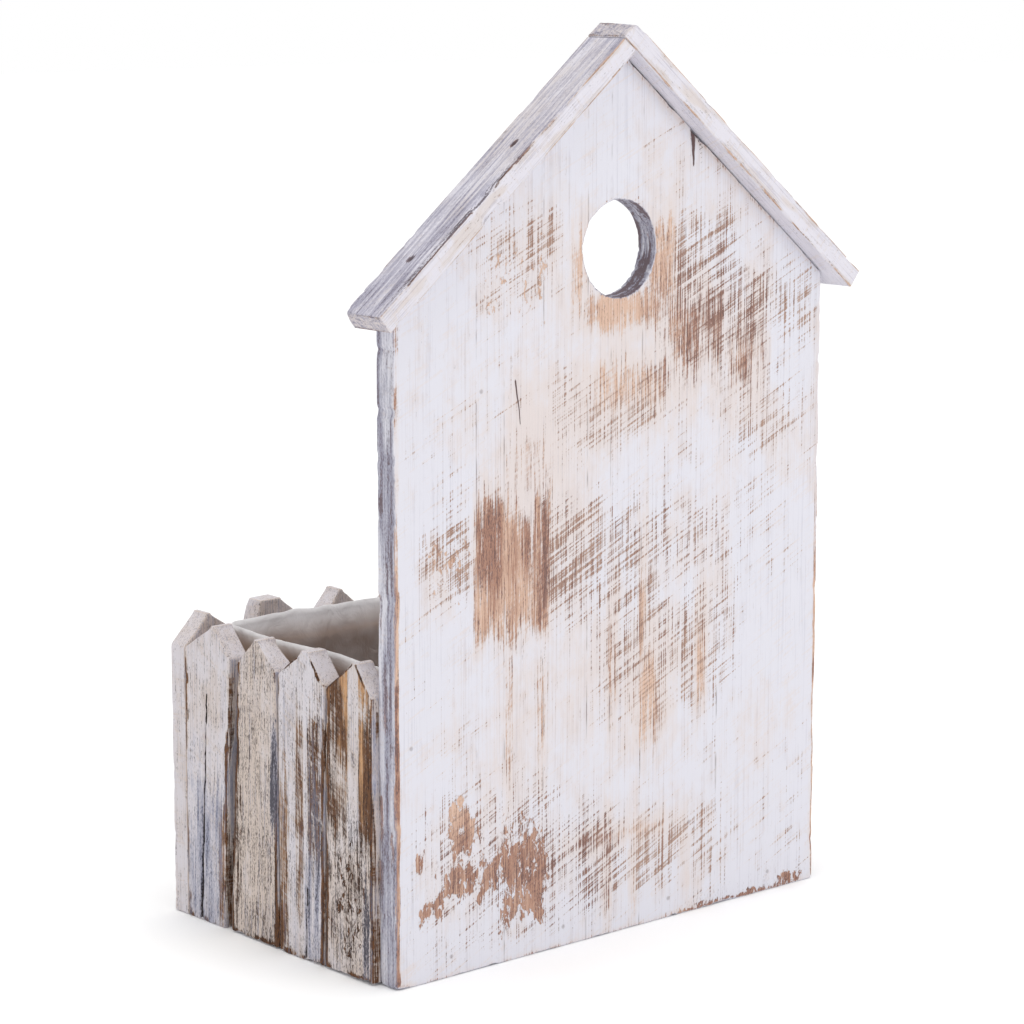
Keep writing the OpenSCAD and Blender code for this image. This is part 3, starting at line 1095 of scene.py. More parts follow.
    def _coat(self, x: Array, y: Array, z: Array, faces: PanelFaces) -> Coat:
        """Wear and stains: the patches on the back face, a worn outer arris, grey rims; its cracks also carry
        a painted shadow line under the -X roof board.

        Args:
            x: The points' places across the panel, in metres.
            y: Their places through it.
            z: Their heights.
            faces: Which face each is on.

        Returns:
            The coat over the panel's points.
        """
        coat = Coat(x, z, self.seed)
        noise = coat.rough.layered
        for patch in self.patches:
            coat.spread(patch, faces.back)
        coat.lay(Channel.WARM, faces.back * 0.5 * ease(noise(x / 0.02 + 5, z / 0.04, 4), 0.4, 0.65))
        coat.lay(Channel.HATCH, faces.back * 0.5 * ease(noise(x / 0.03 + 25, z / 0.03, 4), 0.4, 0.65))
        left, right = ease(faces.rim_side, 0.9, 0.99), ease(-faces.rim_side, 0.9, 0.99)
        low = 1 - ease(z, 0.12, 0.2)
        rough = noise(z / 0.012 + 3, x / 0.012, 4)
        worn = left * (0.5 + 1.1 * low) + right * (0.35 + 0.5 * low) + 0.45 * (1 - left - right)
        worn = worn * faces.arris * (1 - ease(faces.gap, 1.4 * MM, 3.4 * MM)) * (0.6 + 0.8 * rough)
        coat.lay(Channel.BARE, worn)
        coat.lay(Channel.BURN, worn * (0.2 + 0.6 * ease(rough, 0.5, 0.7)))
        stripe = ease(noise(y / 0.003 + 40, z / 0.05, 4), 0.4, 0.62)
        scar = ease(noise(y / 0.003 + 70, z / 0.014, 4), 0.5, 0.68)
        coat.lay(Channel.COOL, faces.rim * (0.5 + 0.4 * stripe))
        coat.lay(Channel.BARE, faces.rim * (0.15 + (0.3 + 0.4 * low) * scar))
        coat.lay(Channel.BURN, faces.rim * (0.15 + 0.6 * scar))
        round_hole = np.arctan2(x, z - self.hole_z) * 1.5 + 9 + 0 * y
        turned = noise(y / 0.0016 + 60, round_hole, 3)
        coat.lay(Channel.COOL, faces.bore * (0.8 + 0.5 * ease(turned, 0.4, 0.6)))
        coat.lay(Channel.BURN, faces.bore * (0.2 + 0.6 * ease(turned, 0.5, 0.7)))
        coat.lay(Channel.BARE, faces.bore * (0.4 + 0.3 * ease(turned, 0.35, 0.65)))
        coat.lay(Channel.WARM, faces.front * 0.3)
        coat.lay(Channel.BARE, faces.front * 0.4 * ease(noise(x / 0.03, z / 0.05, 3), 0.45, 0.7))
        coat.split = self._splits(x, z, rough, faces)
        return coat

    def _splits(self, x: Array, z: Array, rough: Array, faces: PanelFaces) -> Array:
        """The cracks in the back face, and a painted shadow line under the -X roof board.

        Args:
            x: The points' places across the panel, in metres.
            z: Their heights.
            rough: Noise that the painted shadow line comes and goes with.
            faces: Which face each point is on.

        Returns:
            The distances from the nearest one, as Crack.gap gives them.
        """
        # Painted shade: a dark line on the arris under the -X roof board, standing in for the shadow in the
        # gap beneath that board
        sloping = (faces.rim_side < -0.3) & (faces.rim_side > -0.9)
        eaves = sloping * faces.arris * ease(z, 0.25, 0.33)
        shadow_under_roof = faces.gap / (0.45 * MM) + 2.4 * (1 - eaves * ease(rough, 0.2, 0.55))
        shadow_under_roof = np.where(eaves > 0.05, shadow_under_roof, Crack.FAR)
        cracks = nearest_crack(self.cracks, x / MM, z / MM, RoughField(self.seed))
        cracks = np.where(faces.back[..., None] > 0, cracks, Crack.FAR)
        nearer = (eaves > 0.05) & (shadow_under_roof < np.abs(cracks).sum(axis=-1))
        return np.where(nearer[..., None], np.stack([shadow_under_roof, 0 * shadow_under_roof], axis=-1), cracks)


@dataclass
class RoofBoard:
    """One roof board: a rounded bar whose ends are cut at the CAD's angles."""

    node: str
    side: int
    pitch: float
    peak: float
    material: bpy.types.Material
    seed: int
    patches: tuple[Patch, ...] = ()
    nail_marks: tuple[Hollow, ...] = ()
    tears: tuple[Hollow, ...] = ()
    arris: float = 0.6 * MM

    def build(self) -> None:
        """Makes the board and dresses it.

        Along runs down the slope from the peak, across runs from the front to the back edge,
        and through points up out of the roof.
        """
        down = np.array([self.side * math.cos(self.pitch), 0, -math.sin(self.pitch)])
        up = np.array([self.side * math.sin(self.pitch), 0, math.cos(self.pitch)])
        points = node_points(self.node) - (0, 0, self.peak)
        shape = outline(np.stack([points @ down, points @ up], axis=-1))
        heights = shape[:, 1]
        under, over = (shape[np.abs(heights - h) < 0.3 * MM, 0] for h in (heights.min(), heights.max()))
        thick = np.ptp(heights)
        y_low, y_high = points[:, 1].min(), points[:, 1].max()
        grid = Bar.of(wide=34, thick=14, back=18, steps=np.linspace(0, 1, 150))
        rough = RoughField(self.seed)
        share = (grid.core[:, 1] + 1) / 2
        low = under.min() * (1 - share) + over.min() * share
        high = under.max() * (1 - share) + over.max() * share
        along = low * (1 - grid.step[:, None]) + high * grid.step[:, None]
        radius = self.arris * (1 + 2.2 * grid.arris_wear(rough, along))
        across = grid.core[:, 0] * (y_high - y_low) / 2
        dent = 0.25 * MM * rough.layered(across / 0.003 + 5, along / 0.04, 3) * np.abs(grid.normal[:, 1])
        for tear in self.tears:
            dent = dent + tear.depth_at(across, along)
        for mark in self.nail_marks:
            dent = dent + mark.depth_at(across, along) * (grid.normal[:, 1] > 0.9)
        middle = np.full(len(grid.step), (y_low + y_high) / 2)
        half_w = np.full(len(grid.step), (y_high - y_low) / 2)
        local = grid.place(middle, half_w, thick / 2, low, high, radius, dent)
        a, s, b = local[..., 0], local[..., 1], local[..., 2]
        points = a[..., None] * (0, 1, 0) + s[..., None] * down + (b + thick / 2)[..., None] * up
        points = points + (0, 0, self.peak)
        place = np.stack([a - (y_low + y_high) / 2, s, b], axis=-1)
        coat = self._coat(grid, place)
        fields = {"grain": place + (self.seed * 0.37, 0, 0), "place": place, **coat.fields()}
        piece = Surface(points, fields).build(f"weathered_{self.node}")
        put(piece, self.material, "weathered_roof", self.node)

    def _coat(self, grid: Bar, place: Array) -> Coat:
        """Grey weathered top, whiter edges with tan arrises, and a worn lower end.

        Args:
            grid: The board's grid.
            place: Its points as across, along and through the board.

        Returns:
            The coat over those points.
        """
        a, s, b = place[..., 0], place[..., 1], place[..., 2]
        coat = Coat(a, s, self.seed)
        flat = np.cos(grid.lean)[:, None]
        top = np.clip(grid.normal[:, 1], 0, 1) * flat
        below = np.clip(-grid.normal[:, 1], 0, 1) * flat
        edge = np.abs(grid.normal[:, 0]) * flat
        end = 1 - flat + 0 * edge
        rough = coat.rough.layered(s / 0.018, a / 0.006 + b / 0.004 + 9, 4)
        off = np.where(top + below > 0.5, np.abs(a).max() - np.abs(a), np.abs(b).max() - np.abs(b))
        arris = (1 - ease(off, 0.2 * MM, 1.4 * MM)) * (1 - end)
        coat.lay(Channel.COOL, top * (0.4 + 0.6 * rough) + below * 0.22 + end * 0.6)
        coat.lay(Channel.BARE, np.maximum(arris * (0.5 + 0.4 * ease(rough, 0.35, 0.65)), 0.2 * top))
        coat.lay(Channel.WARM, edge * (0.25 + 0.5 * ease(rough, 0.4, 0.7)) + end * 1.2)
        coat.lay(Channel.BARE, edge * 0.42 * ease(rough, 0.45, 0.7) + end * 0.6 * rough)
        coat.lay(Channel.HATCH, top * 0.5 * ease(rough, 0.4, 0.7))
        crest = (1 - ease(np.abs(b).max() - np.abs(b), 0.4 * MM, 2.4 * MM)) * end * rough
        coat.lay(Channel.BARE, 1.5 * crest)
        coat.lay(Channel.BURN, crest)
        for patch in self.patches:
            coat.spread(patch, top)
        for mark in self.nail_marks:
            for channel in (Channel.BARE, Channel.BURN, Channel.HATCH):
                coat.spread(Patch(channel, mark.across, mark.along, 1.3, 2.0, 2.0, soft=1.0, ragged=0.8), top)
        return coat


class Facing(Enum):
    """Which way a fence row faces: its direction along the wall and its direction out."""

    FRONT = ((1, 0, 0), (0, -1, 0))
    RIGHT = ((0, 1, 0), (1, 0, 0))
    LEFT = ((0, 1, 0), (-1, 0, 0))

    @property
    def wall(self) -> Array:
        """Unit vector along the wall."""
        return np.array(self.value[0], dtype=float)

    @property
    def out(self) -> Array:
        """Unit vector out of the wall."""
        return np.array(self.value[1], dtype=float)


@dataclass(frozen=True)
class PicketCoat:
    """How one picket's outer face has weathered: foot and head amounts, and its own patches.

    edges is how worn its arrises and foot are, rim how bare its two narrow edges are, and crest
    how dark the line under its cut top is.
    """

    bare: tuple[float, float] = (0.25, 0.15)
    burn: tuple[float, float] = (0.3, 0.2)
    warm: tuple[float, float] = (0.3, 0.2)
    cool: tuple[float, float] = (0.35, 0.2)
    chip: tuple[float, float] = (0.0, 0.0)
    edges: float = 0.6
    patches: tuple[Patch, ...] = ()
    cracks: tuple[Crack, ...] = ()
    rim: float = 0.7
    crest: float = 0.0


@dataclass
class Picket:
    """One pointed board: a rounded bar that narrows from its shoulders to a blunt tip."""

    node: str
    facing: Facing
    coat: PicketCoat
    material: bpy.types.Material
    seed: int
    step: float = 1.5 * MM
    arris: float = 0.7 * MM

    def __post_init__(self) -> None:
        """Reads the foot, the shoulders and the tip from the frame."""
        points = node_points(self.node)
        self.along_wall, self.outward = points @ self.facing.wall, points @ self.facing.out
        shape = outline(np.stack([self.along_wall, points[:, 2]], axis=-1))
        shape = shape[np.argsort(shape[:, 1])]
        self.levels = shape[[0, 2, -1], 1]
        self.lows = np.array([pair[:, 0].min() for pair in (shape[:2], shape[2:4], shape[-2:])])
        self.highs = np.array([pair[:, 0].max() for pair in (shape[:2], shape[2:4], shape[-2:])])
        self.half_t = np.ptp(self.outward) / 2

    def _edge(self, height: Array, ends: Array) -> Array:
        """An edge's place at each height: straight runs, with the shoulder's corner eased."""
        reach = 0.7 * MM
        return sum(np.interp(height + d, self.levels, ends) for d in (-reach, 0, reach)) / 3

    def build(self) -> None:
        """Makes the picket and dresses it."""
        foot, shoulder, tip = self.levels
        body = np.arange(0, shoulder - foot, self.step)
        head = np.linspace(shoulder - foot, tip - foot, round((tip - shoulder) / (0.6 * self.step)))
        near = np.array([0.4, 0.9]) * MM
        steps = np.unique(np.concatenate([body, near, head])) / (tip - foot)
        width = self.highs[0] - self.lows[0]
        grid = Bar.of(wide=round(width / (0.62 * self.step)), thick=9, back=14, steps=steps)
        rough = RoughField(self.seed)
        height = foot + grid.step * (tip - foot)
        low_edge, high_edge = self._edge(height, self.lows), self._edge(height, self.highs)
        middle, half_w = (low_edge + high_edge) / 2, (high_edge - low_edge) / 2
        tall = np.broadcast_to(height[:, None], (len(height), len(grid.core)))
        across = grid.core[:, 0] * half_w[:, None]
        radius = self.arris * (1 + 1.6 * grid.arris_wear(rough, tall))
        front = np.clip(grid.normal[:, 1], 0, 1) * np.cos(grid.lean)[:, None]
        dent = 0.22 * MM * rough.layered(across / 0.0022 + 5, tall / 0.05, 3) * front
        split = nearest_crack(self.coat.cracks, across / MM, tall / MM, rough)
        split = np.where(front[..., None] > 0.7, split, Crack.FAR)
        dent = dent + 1.6 * MM * (1 - ease(np.abs(split).sum(axis=-1), 0.3, 1.3)) * front
        ragged = 0.9 * MM * ease(rough.layered(grid.core[:, 0] * 5, 0 * grid.core[:, 0] + 80, 3), 0.35, 0.8)
        top = np.full_like(ragged, tip)
        local = grid.place(middle, half_w, self.half_t, foot + ragged, top, radius, dent)
        a, s, b = local[..., 0], local[..., 1], local[..., 2]
        centre = (self.outward.min() + self.outward.max()) / 2
        points = a[..., None] * self.facing.wall + (b + centre)[..., None] * self.facing.out
        points = points + s[..., None] * (0, 0, 1)
        axis = np.interp(s, self.levels[:2], (self.lows[:2] + self.highs[:2]) / 2)
        place = np.stack([a - axis, s, b], axis=-1)
        coat = self._dress(grid, place, half_w, shoulder, split)
        fields = {"grain": place + (self.seed * 0.173, self.seed * 0.31, 0), "place": place, **coat.fields()}
        piece = Surface(points, fields).build(f"weathered_{self.node}")
        put(piece, self.material, "weathered_picket", self.node)

    def _dress(self, grid: Bar, place: Array, half_w: Array, shoulder: float, split: Array) -> Coat:
        """The picket's coat: its own wear in front, brown edges, a pale cut top, a worn foot.

        Args:
            grid: The picket's grid.
            place: Its points as across, along and through the board.
            half_w: Half its width, one to a row.
            shoulder: Height of its shoulders.
            split: Distances from its nearest crack.

        Returns:
            The coat over those points.
        """
        a, s, b = place[..., 0], place[..., 1], place[..., 2]
        coat = Coat(a, s, self.seed)
        flat = np.cos(grid.lean)[:, None]
        front = (np.clip(grid.normal[:, 1], 0, 1) > 0.7) * flat
        behind = (np.clip(-grid.normal[:, 1], 0, 1) > 0.7) * flat
        cut = ease(s, shoulder - 0.2 * MM, shoulder + 0.4 * MM)
        edge = (np.abs(grid.normal[:, 0]) > 0.7) * flat * (1 - cut)
        top = (np.abs(grid.normal[:, 0]) > 0.7) * flat * cut + (grid.lean > 0.5)[:, None]
        rise = s / shoulder
        rough = coat.rough.layered(a / 0.005, s / 0.02, 4)
        for channel in (Channel.BARE, Channel.BURN, Channel.WARM, Channel.COOL, Channel.CHIP):
            foot, head = getattr(self.coat, channel.name.lower())
            coat.lay(channel, front * (foot + (head - foot) * rise) * (0.6 + 0.8 * rough))
        for patch in self.coat.patches:
            coat.spread(patch, front)
        off = (1 - np.abs(grid.core[:, 0])) * half_w[:, None]
        arris = (1 - ease(off, 0.2 * MM, 2.2 * MM)) * front * (1 - cut)
        near_foot = (1 - ease(s, 0.5 * MM, 5 * MM)) * front
        worn = np.maximum(arris, near_foot) * (0.4 + 0.9 * ease(rough, 0.3, 0.7)) * self.coat.edges
        coat.lay(Channel.BARE, worn)
        coat.lay(Channel.BURN, worn * 0.9)
        crest = (1 - ease(off, 0.4 * MM, 1.3 * MM)) * front * cut * self.coat.crest * ease(rough, 0.3, 0.5)
        coat.lay(Channel.BARE, crest)
        coat.lay(Channel.BURN, crest * 1.5)
        shade = ease(coat.rough.layered(b / 0.004 + 30, s / 0.03, 3), 0.4, 0.62)
        coat.lay(Channel.BARE, edge * self.coat.rim * (0.5 + 0.5 * shade) + behind * 0.3)
        coat.lay(Channel.BURN, edge * self.coat.rim * shade + behind * 0.2)
        coat.lay(Channel.WARM, top * 0.7 + behind * 0.6 + edge * 0.5)
        coat.lay(Channel.COOL, edge * self.coat.rim * (0.8 - 0.7 * shade) + behind * 0.25)
        coat.split = split
        return coat


@dataclass
class Fence:
    """The three rows of pickets.

    A picket's finer step is for the row that is seen closest. The seeds go up by one from each
    picket to the next.
    """

    material: bpy.types.Material
    coats: dict[str, PicketCoat] = field(default_factory=dict)
    fine_step: float = 1.1 * MM
    usual_step: float = 1.6 * MM
    first_seed: int = 30
    first_coat_seed: int = 500

    def build(self) -> None:
        """Makes every picket that the frame has, row by row."""
        boards = [(name, facing) for facing in Facing for name in sorted(frame["nodes"])
                  if name.startswith(f"{facing.name.lower()}_picket_") and name[-1].isdigit()]
        for k, (name, facing) in enumerate(boards):
            step = self.fine_step if facing is Facing.RIGHT else self.usual_step
            coat = self.coats.get(name, self._usual(self.first_coat_seed + k))
            Picket(name, facing, coat, self.material, seed=self.first_seed + k, step=step).build()

    @staticmethod
    def _usual(seed: int) -> PicketCoat:
        """A plain coat that differs a little from board to board.

        Args:
            seed: Seed of the board's five random numbers.

        Returns:
            The coat.
        """
        a, b, c, d, e = np.random.default_rng(seed).random(5)
        return PicketCoat(
            bare=(0.2 + 0.25 * a, 0.1 + 0.2 * b),
            warm=(0.2 + 0.4 * c, 0.2 + 0.3 * c),
            cool=(0.2 + 0.35 * d, 0.15 + 0.2 * d),
            burn=(0.2 + 0.4 * e, 0.1 + 0.2 * e),
            patches=(
                Patch(Channel.BARE, 22 * a - 11, 20 + 90 * b, 3 + 5 * e, 14 + 40 * d, 0.6, soft=0.9),
                Patch(Channel.BARE, 11 - 22 * c, 100 - 80 * a, 4, 30, 0.55, soft=0.9),
                Patch(Channel.HATCH, 6 - 12 * c, 80 - 50 * d, 10, 26, 0.9, soft=0.9),
                Patch(Channel.CHIP, 20 * e - 10, 12, 8, 14, 0.5, soft=0.8),
            ),
        )


@dataclass
class Liner:
    """The film: one sheet pushed down into the box, with its corners folded round.

    Rows go from the middle of the floor out to its edge, round the fold, up the walls and over
    a waving rim; columns go round the box. A second skin inside the first gives its thickness.
    The rim stands up to rim_rise above the CAD's, waves down by rim_wave, and leans out to stay
    rim_clear short of the pickets' outer faces.
    """

    material: bpy.types.Material
    node: str = "liner"
    neighbour: str = "right_picket_2"
    columns: int = 320
    thickness: float = 0.35 * MM
    fold: float = 5 * MM
    corner: float = 9 * MM
    rim_rise: float = 2.5 * MM
    rim_wave: float = 4 * MM
    rim_clear: float = 1.5 * MM
    crease: float = 2.6 * MM
    seed: int = 77

    def _plan(self, turn: Array, half: Array) -> tuple[Array, Array]:
        """The walls' plan: a rectangle with rounded corners, evenly spaced along its length.

        Args:
            turn: Angles for the way round, from 0 up to a full turn.
            half: Half the rectangle's sizes.

        Returns:
            The plan's points about its middle, and their outward normals.
        """
        inner = half - self.corner
        across, along = 2 * inner[1], 2 * inner[0]
        arc = self.corner * math.pi / 2
        run = turn / (2 * math.pi) * (2 * (across + along) + 4 * arc)
        start, points, normals = 0.0, 0, 0
        for side, quarter in ((across, 0), (along, 1), (across, 2), (along, 3)):
            out = np.array([math.cos(quarter * math.pi / 2), math.sin(quarter * math.pi / 2)])
            ahead = np.array([-out[1], out[0]])
            share = np.clip((run - start) / side, 0, 1)[:, None]
            on_side = ((run >= start) & (run < start + side))[:, None]
            bend = np.clip((run - start - side) / arc, 0, 1)[:, None] * math.pi / 2
            on_arc = ((run >= start + side) & (run < start + side + arc))[:, None]
            swept = np.cos(bend) * out + np.sin(bend) * ahead
            straight = out * half - ahead * inner + 2 * share * ahead * inner
            points = points + on_side * straight + on_arc * ((out + ahead) * inner + self.corner * swept)
            normals = normals + on_side * out + on_arc * swept
            start += side + arc
        return points, normals / np.linalg.norm(normals, axis=1)[:, None]

    def _walls(self, turn: Array, plan: Array, normal: Array, low: Array, high: Array) -> Array:
        """The walls, creased by hand, from the fold up to the waving rim.

        Args:
            turn: Angles for the way round.
            plan: The plan's points about its middle.
            normal: Their outward normals.
            low: The lower corner of the liner's CAD box.
            high: The upper one.

        Returns:
            Points about the box's middle, by column and then by row.
        """
        shoulder = np.sort(outline(node_points(self.neighbour)[:, [1, 2]])[:, 1])[2]
        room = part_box(self.neighbour)[0][0] - high[0]
        rough = RoughField(self.seed)
        round_x, round_y = np.cos(turn), np.sin(turn)
        wave = rough.layered(round_x * 5 + 9, round_y * 5 + 9, 3)
        top = high[2] + self.rim_rise - self.rim_wave * (1 - wave)
        rise = np.linspace(0, 1, 44)
        lift = self.fold + rise[None, :] * (top[:, None] - low[2] - self.fold)
        at_panel = ease(normal[:, 1], 0.3, 0.9)[:, None]
        lean = ease(lift + low[2], shoulder - 6 * MM, high[2]) * (1 - at_panel) * (0.25 + 0.6 * wave[:, None])
        creases = rough.layered(round_x[:, None] * 11 + 20, round_y[:, None] * 11 + rise[None, :] * 2 + 20, 3)
        push = lean * (room - self.rim_clear) - self.crease * creases * ease(rise, 0.02, 0.4)[None, :]
        xy = plan[:, None, :] + push[..., None] * normal[:, None, :]
        return np.concatenate([xy, (low[2] + lift)[..., None]], axis=-1)

    def _floor(self, edge: Array, height: float) -> Array:
        """The floor, rumpled between its middle and its edge.

        Args:
            edge: The points of its edge.
            height: Its height.

        Returns:
            Points about the box's middle, by column and then by row.
        """
        share = np.linspace(0.03, 1, 16)
        xy = edge[:, None, :] * share[None, :, None]
        rumple = RoughField(self.seed).layered(xy[..., 0] / 0.02 + 7, xy[..., 1] / 0.02 + 7, 3)
        z = height + 0.8 * MM * rumple * (1 - share[None, :] ** 6)
        return np.concatenate([xy, z[..., None]], axis=-1)

    def _skins(self, outer: Array) -> Array:
        """Adds the inner skin.

        Args:
            outer: The outer skin's points, by row and then by column.

        Returns:
            The rows of the outer skin and then, from the rim back, those of the inner one.
        """
        step_row = np.gradient(outer, axis=0)
        step_col = np.roll(outer, -1, axis=1) - np.roll(outer, 1, axis=1)
        inward = np.cross(step_row, step_col)
        inward /= np.linalg.norm(inward, axis=-1)[..., None]
        inward *= np.sign(inward[1, 0, 2])
        return np.concatenate([outer, (outer + self.thickness * inward)[::-1]], axis=0)

    def build(self) -> None:
        """Laid flat, the sheet is the floor with a wall's height on each side, less its corners.
        """
        low, high = (np.array(corner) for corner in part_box(self.node))
        half, centre = (high[:2] - low[:2]) / 2, (high[:2] + low[:2]) / 2
        turn = np.linspace(0, 2 * math.pi, self.columns, endpoint=False)
        plan, normal = self._plan(turn, half)
        walls = self._walls(turn, plan, normal, low, high)
        bend = np.linspace(0, math.pi / 2, 6)[1:-1]
        fold_xy = plan[:, None, :] - self.fold * (1 - np.sin(bend))[None, :, None] * normal[:, None, :]
        fold_z = low[2] + self.fold * (1 - np.cos(bend))[None, :] + 0 * turn[:, None]
        fold = np.concatenate([fold_xy, fold_z[..., None]], axis=-1)
        floor = self._floor(plan - self.fold * normal, low[2])
        outer = np.concatenate([floor, fold, walls], axis=1).transpose(1, 0, 2) + (*centre, 0)
        piece = Surface(self._skins(outer), {}).build("film_liner")
        put(piece, self.material, "film", self.node)


@dataclass
class HiddenWork:
    """The base board, rails, brads and staples, which keep their CAD shapes."""

    finishes: dict[str, bpy.types.Material]

    def build(self) -> None:
        """Gives each CAD node the finish of its kind."""
        for name, finish in self.finishes.items():
            slots = frame["nodes"][name].data.materials
            slots.clear()
            slots.append(finish)
            LOG.info("dressed %s", name)


@dataclass
class Stage:
    """The floor, the lights and the camera.

    eye, yaw, dip and shift place a level frame on the planter's back corner. surround is how
    strongly the white surroundings light it, and aim the point that the lamps face.
    """

    eye: tuple[float, float, float] = (0.8753, 1.0085, 0.4097)
    yaw: float = 41.01
    dip: float = 9.22
    lens: float = 110.9
    shift: float = -0.05
    surround: float = 0.62
    aim: tuple[float, float, float] = (0, 0, 0.18)

    def build(self) -> None:
        """Sets out the stage."""
        self._floor()
        self._world()
        self._lamp("key", (-0.6, 2.3, 1.3), size=1.7, power=16)
        self._lamp("fill", (2.3, 0.6, 0.9), size=1.6, power=4)
        self._sun(strength=1.5, spread=50)
        self._camera()

    def _floor(self) -> None:
        """A wide, nearly white floor with a barely clouded surface."""
        mesh = bpy.data.meshes.new("floor")
        half = 8.0
        corners = [(-half, -half, 0), (half, -half, 0), (half, half, 0), (-half, half, 0)]
        mesh.from_pydata(corners, [], [(0, 1, 2, 3)])
        floor = bpy.data.objects.new("floor", mesh)
        bpy.context.scene.collection.objects.link(floor)
        made, kit, shader = new_material("studio_floor")
        cloud = kit.noise(kit.object_place(), (400, 400, 400), detail=2)
        kit.feed(shader.inputs["Base Color"], kit.blend(cloud, srgb(252, 252, 252), srgb(255, 255, 255)))
        shader.inputs["Roughness"].default_value = 0.9
        floor.data.materials.append(made)

    def _world(self) -> None:
        """An even white surround, which lights the planter less than it shows."""
        world = bpy.data.worlds.new("studio")
        world.use_nodes = True
        kit = NodeKit(world.node_tree)
        back = world.node_tree.nodes["Background"]
        back.inputs["Color"].default_value = (1, 1, 1, 1)
        seen = kit.node("ShaderNodeLightPath").outputs["Is Camera Ray"]
        kit.feed(back.inputs["Strength"], kit.total((seen, 1 - self.surround), (1.0, self.surround)))
        bpy.context.scene.world = world

    def _sun(self, strength: float, spread: float) -> None:
        """A very soft light from straight above, which keeps the whole floor white.

        Args:
            strength: Its strength.
            spread: The angle that it fills, in degrees.
        """
        data = bpy.data.lights.new("overhead", "SUN")
        data.energy, data.angle = strength, math.radians(spread)
        bpy.context.scene.collection.objects.link(bpy.data.objects.new("overhead", data))

    def _lamp(self, name: str, place: tuple[float, float, float], size: float, power: float) -> None:
        """A soft square light that faces the planter.

        Args:
            name: Its name.
            place: Where it stands, in metres.
            size: The length of its side.
            power: Its power in watts.
        """
        data = bpy.data.lights.new(name, "AREA")
        data.size, data.energy = size, power
        lamp = bpy.data.objects.new(name, data)
        lamp.location = place
        lamp.rotation_mode = "QUATERNION"
        lamp.rotation_quaternion = (Vector(self.aim) - Vector(place)).to_track_quat("-Z", "Y")
        bpy.context.scene.collection.objects.link(lamp)

    def _camera(self) -> None:
        """A long lens, level with the gable and looking slightly down."""
        data = bpy.data.cameras.new("camera")
        data.lens, data.sensor_width, data.shift_y = self.lens, 36, self.shift
        data.clip_start, data.clip_end = 0.05, 40
        camera = bpy.data.objects.new("camera", data)
        yaw, dip = math.radians(self.yaw), math.radians(self.dip)
        ahead = Vector((-math.sin(yaw) * math.cos(dip), -math.cos(yaw) * math.cos(dip), -math.sin(dip)))
        camera.location = self.eye
        camera.rotation_mode = "QUATERNION"
        camera.rotation_quaternion = ahead.to_track_quat("-Z", "Y")
        bpy.context.scene.collection.objects.link(camera)
        bpy.context.scene.camera = camera
        bpy.context.scene.view_settings.view_transform = "Standard"


# ---- Finishes and wear of this planter ----

PANEL_FINISH = WhitewashFinish(
    name="whitewash_on_staves",
    paint=srgb(217, 216, 224), wash=srgb(217, 207, 205), wood=srgb(212, 180, 160), brown=srgb(166, 126, 108),
    dark=srgb(100, 78, 78), soot=srgb(150, 149, 166), specks=0.15, lines=0.2, relief=0.8,
    seams=(77, 62.5, 41.5, 17.5, 4.6, -13, -58),
    spots=((74.5, 237), (111, 98), (-42, 40), (90.7, 8.5), (30.2, 8.5), (-30.2, 8.5), (-90.7, 8.5)),
)
ROOF_FINISH = WhitewashFinish(
    name="weathered_roof_wash",
    paint=srgb(218, 215, 223), wash=srgb(212, 203, 201), wood=srgb(206, 174, 152), brown=srgb(126, 96, 86),
    dark=srgb(76, 62, 64), soot=srgb(158, 155, 172), specks=0.45, lines=0.4, relief=1.6,
    spots=((-10.1, 60), (-10.1, 128)),
)
PICKET_FINISH = WhitewashFinish(
    name="weathered_picket_wash",
    paint=srgb(215, 210, 215), wash=srgb(207, 192, 182), wood=srgb(208, 162, 120), brown=srgb(108, 72, 46),
    dark=srgb(42, 30, 28), soot=srgb(146, 149, 170), specks=0.75, lines=0.6, relief=2.2,
    spots=((0, 8.5), (0, 106)), spot_strength=0.2,
)

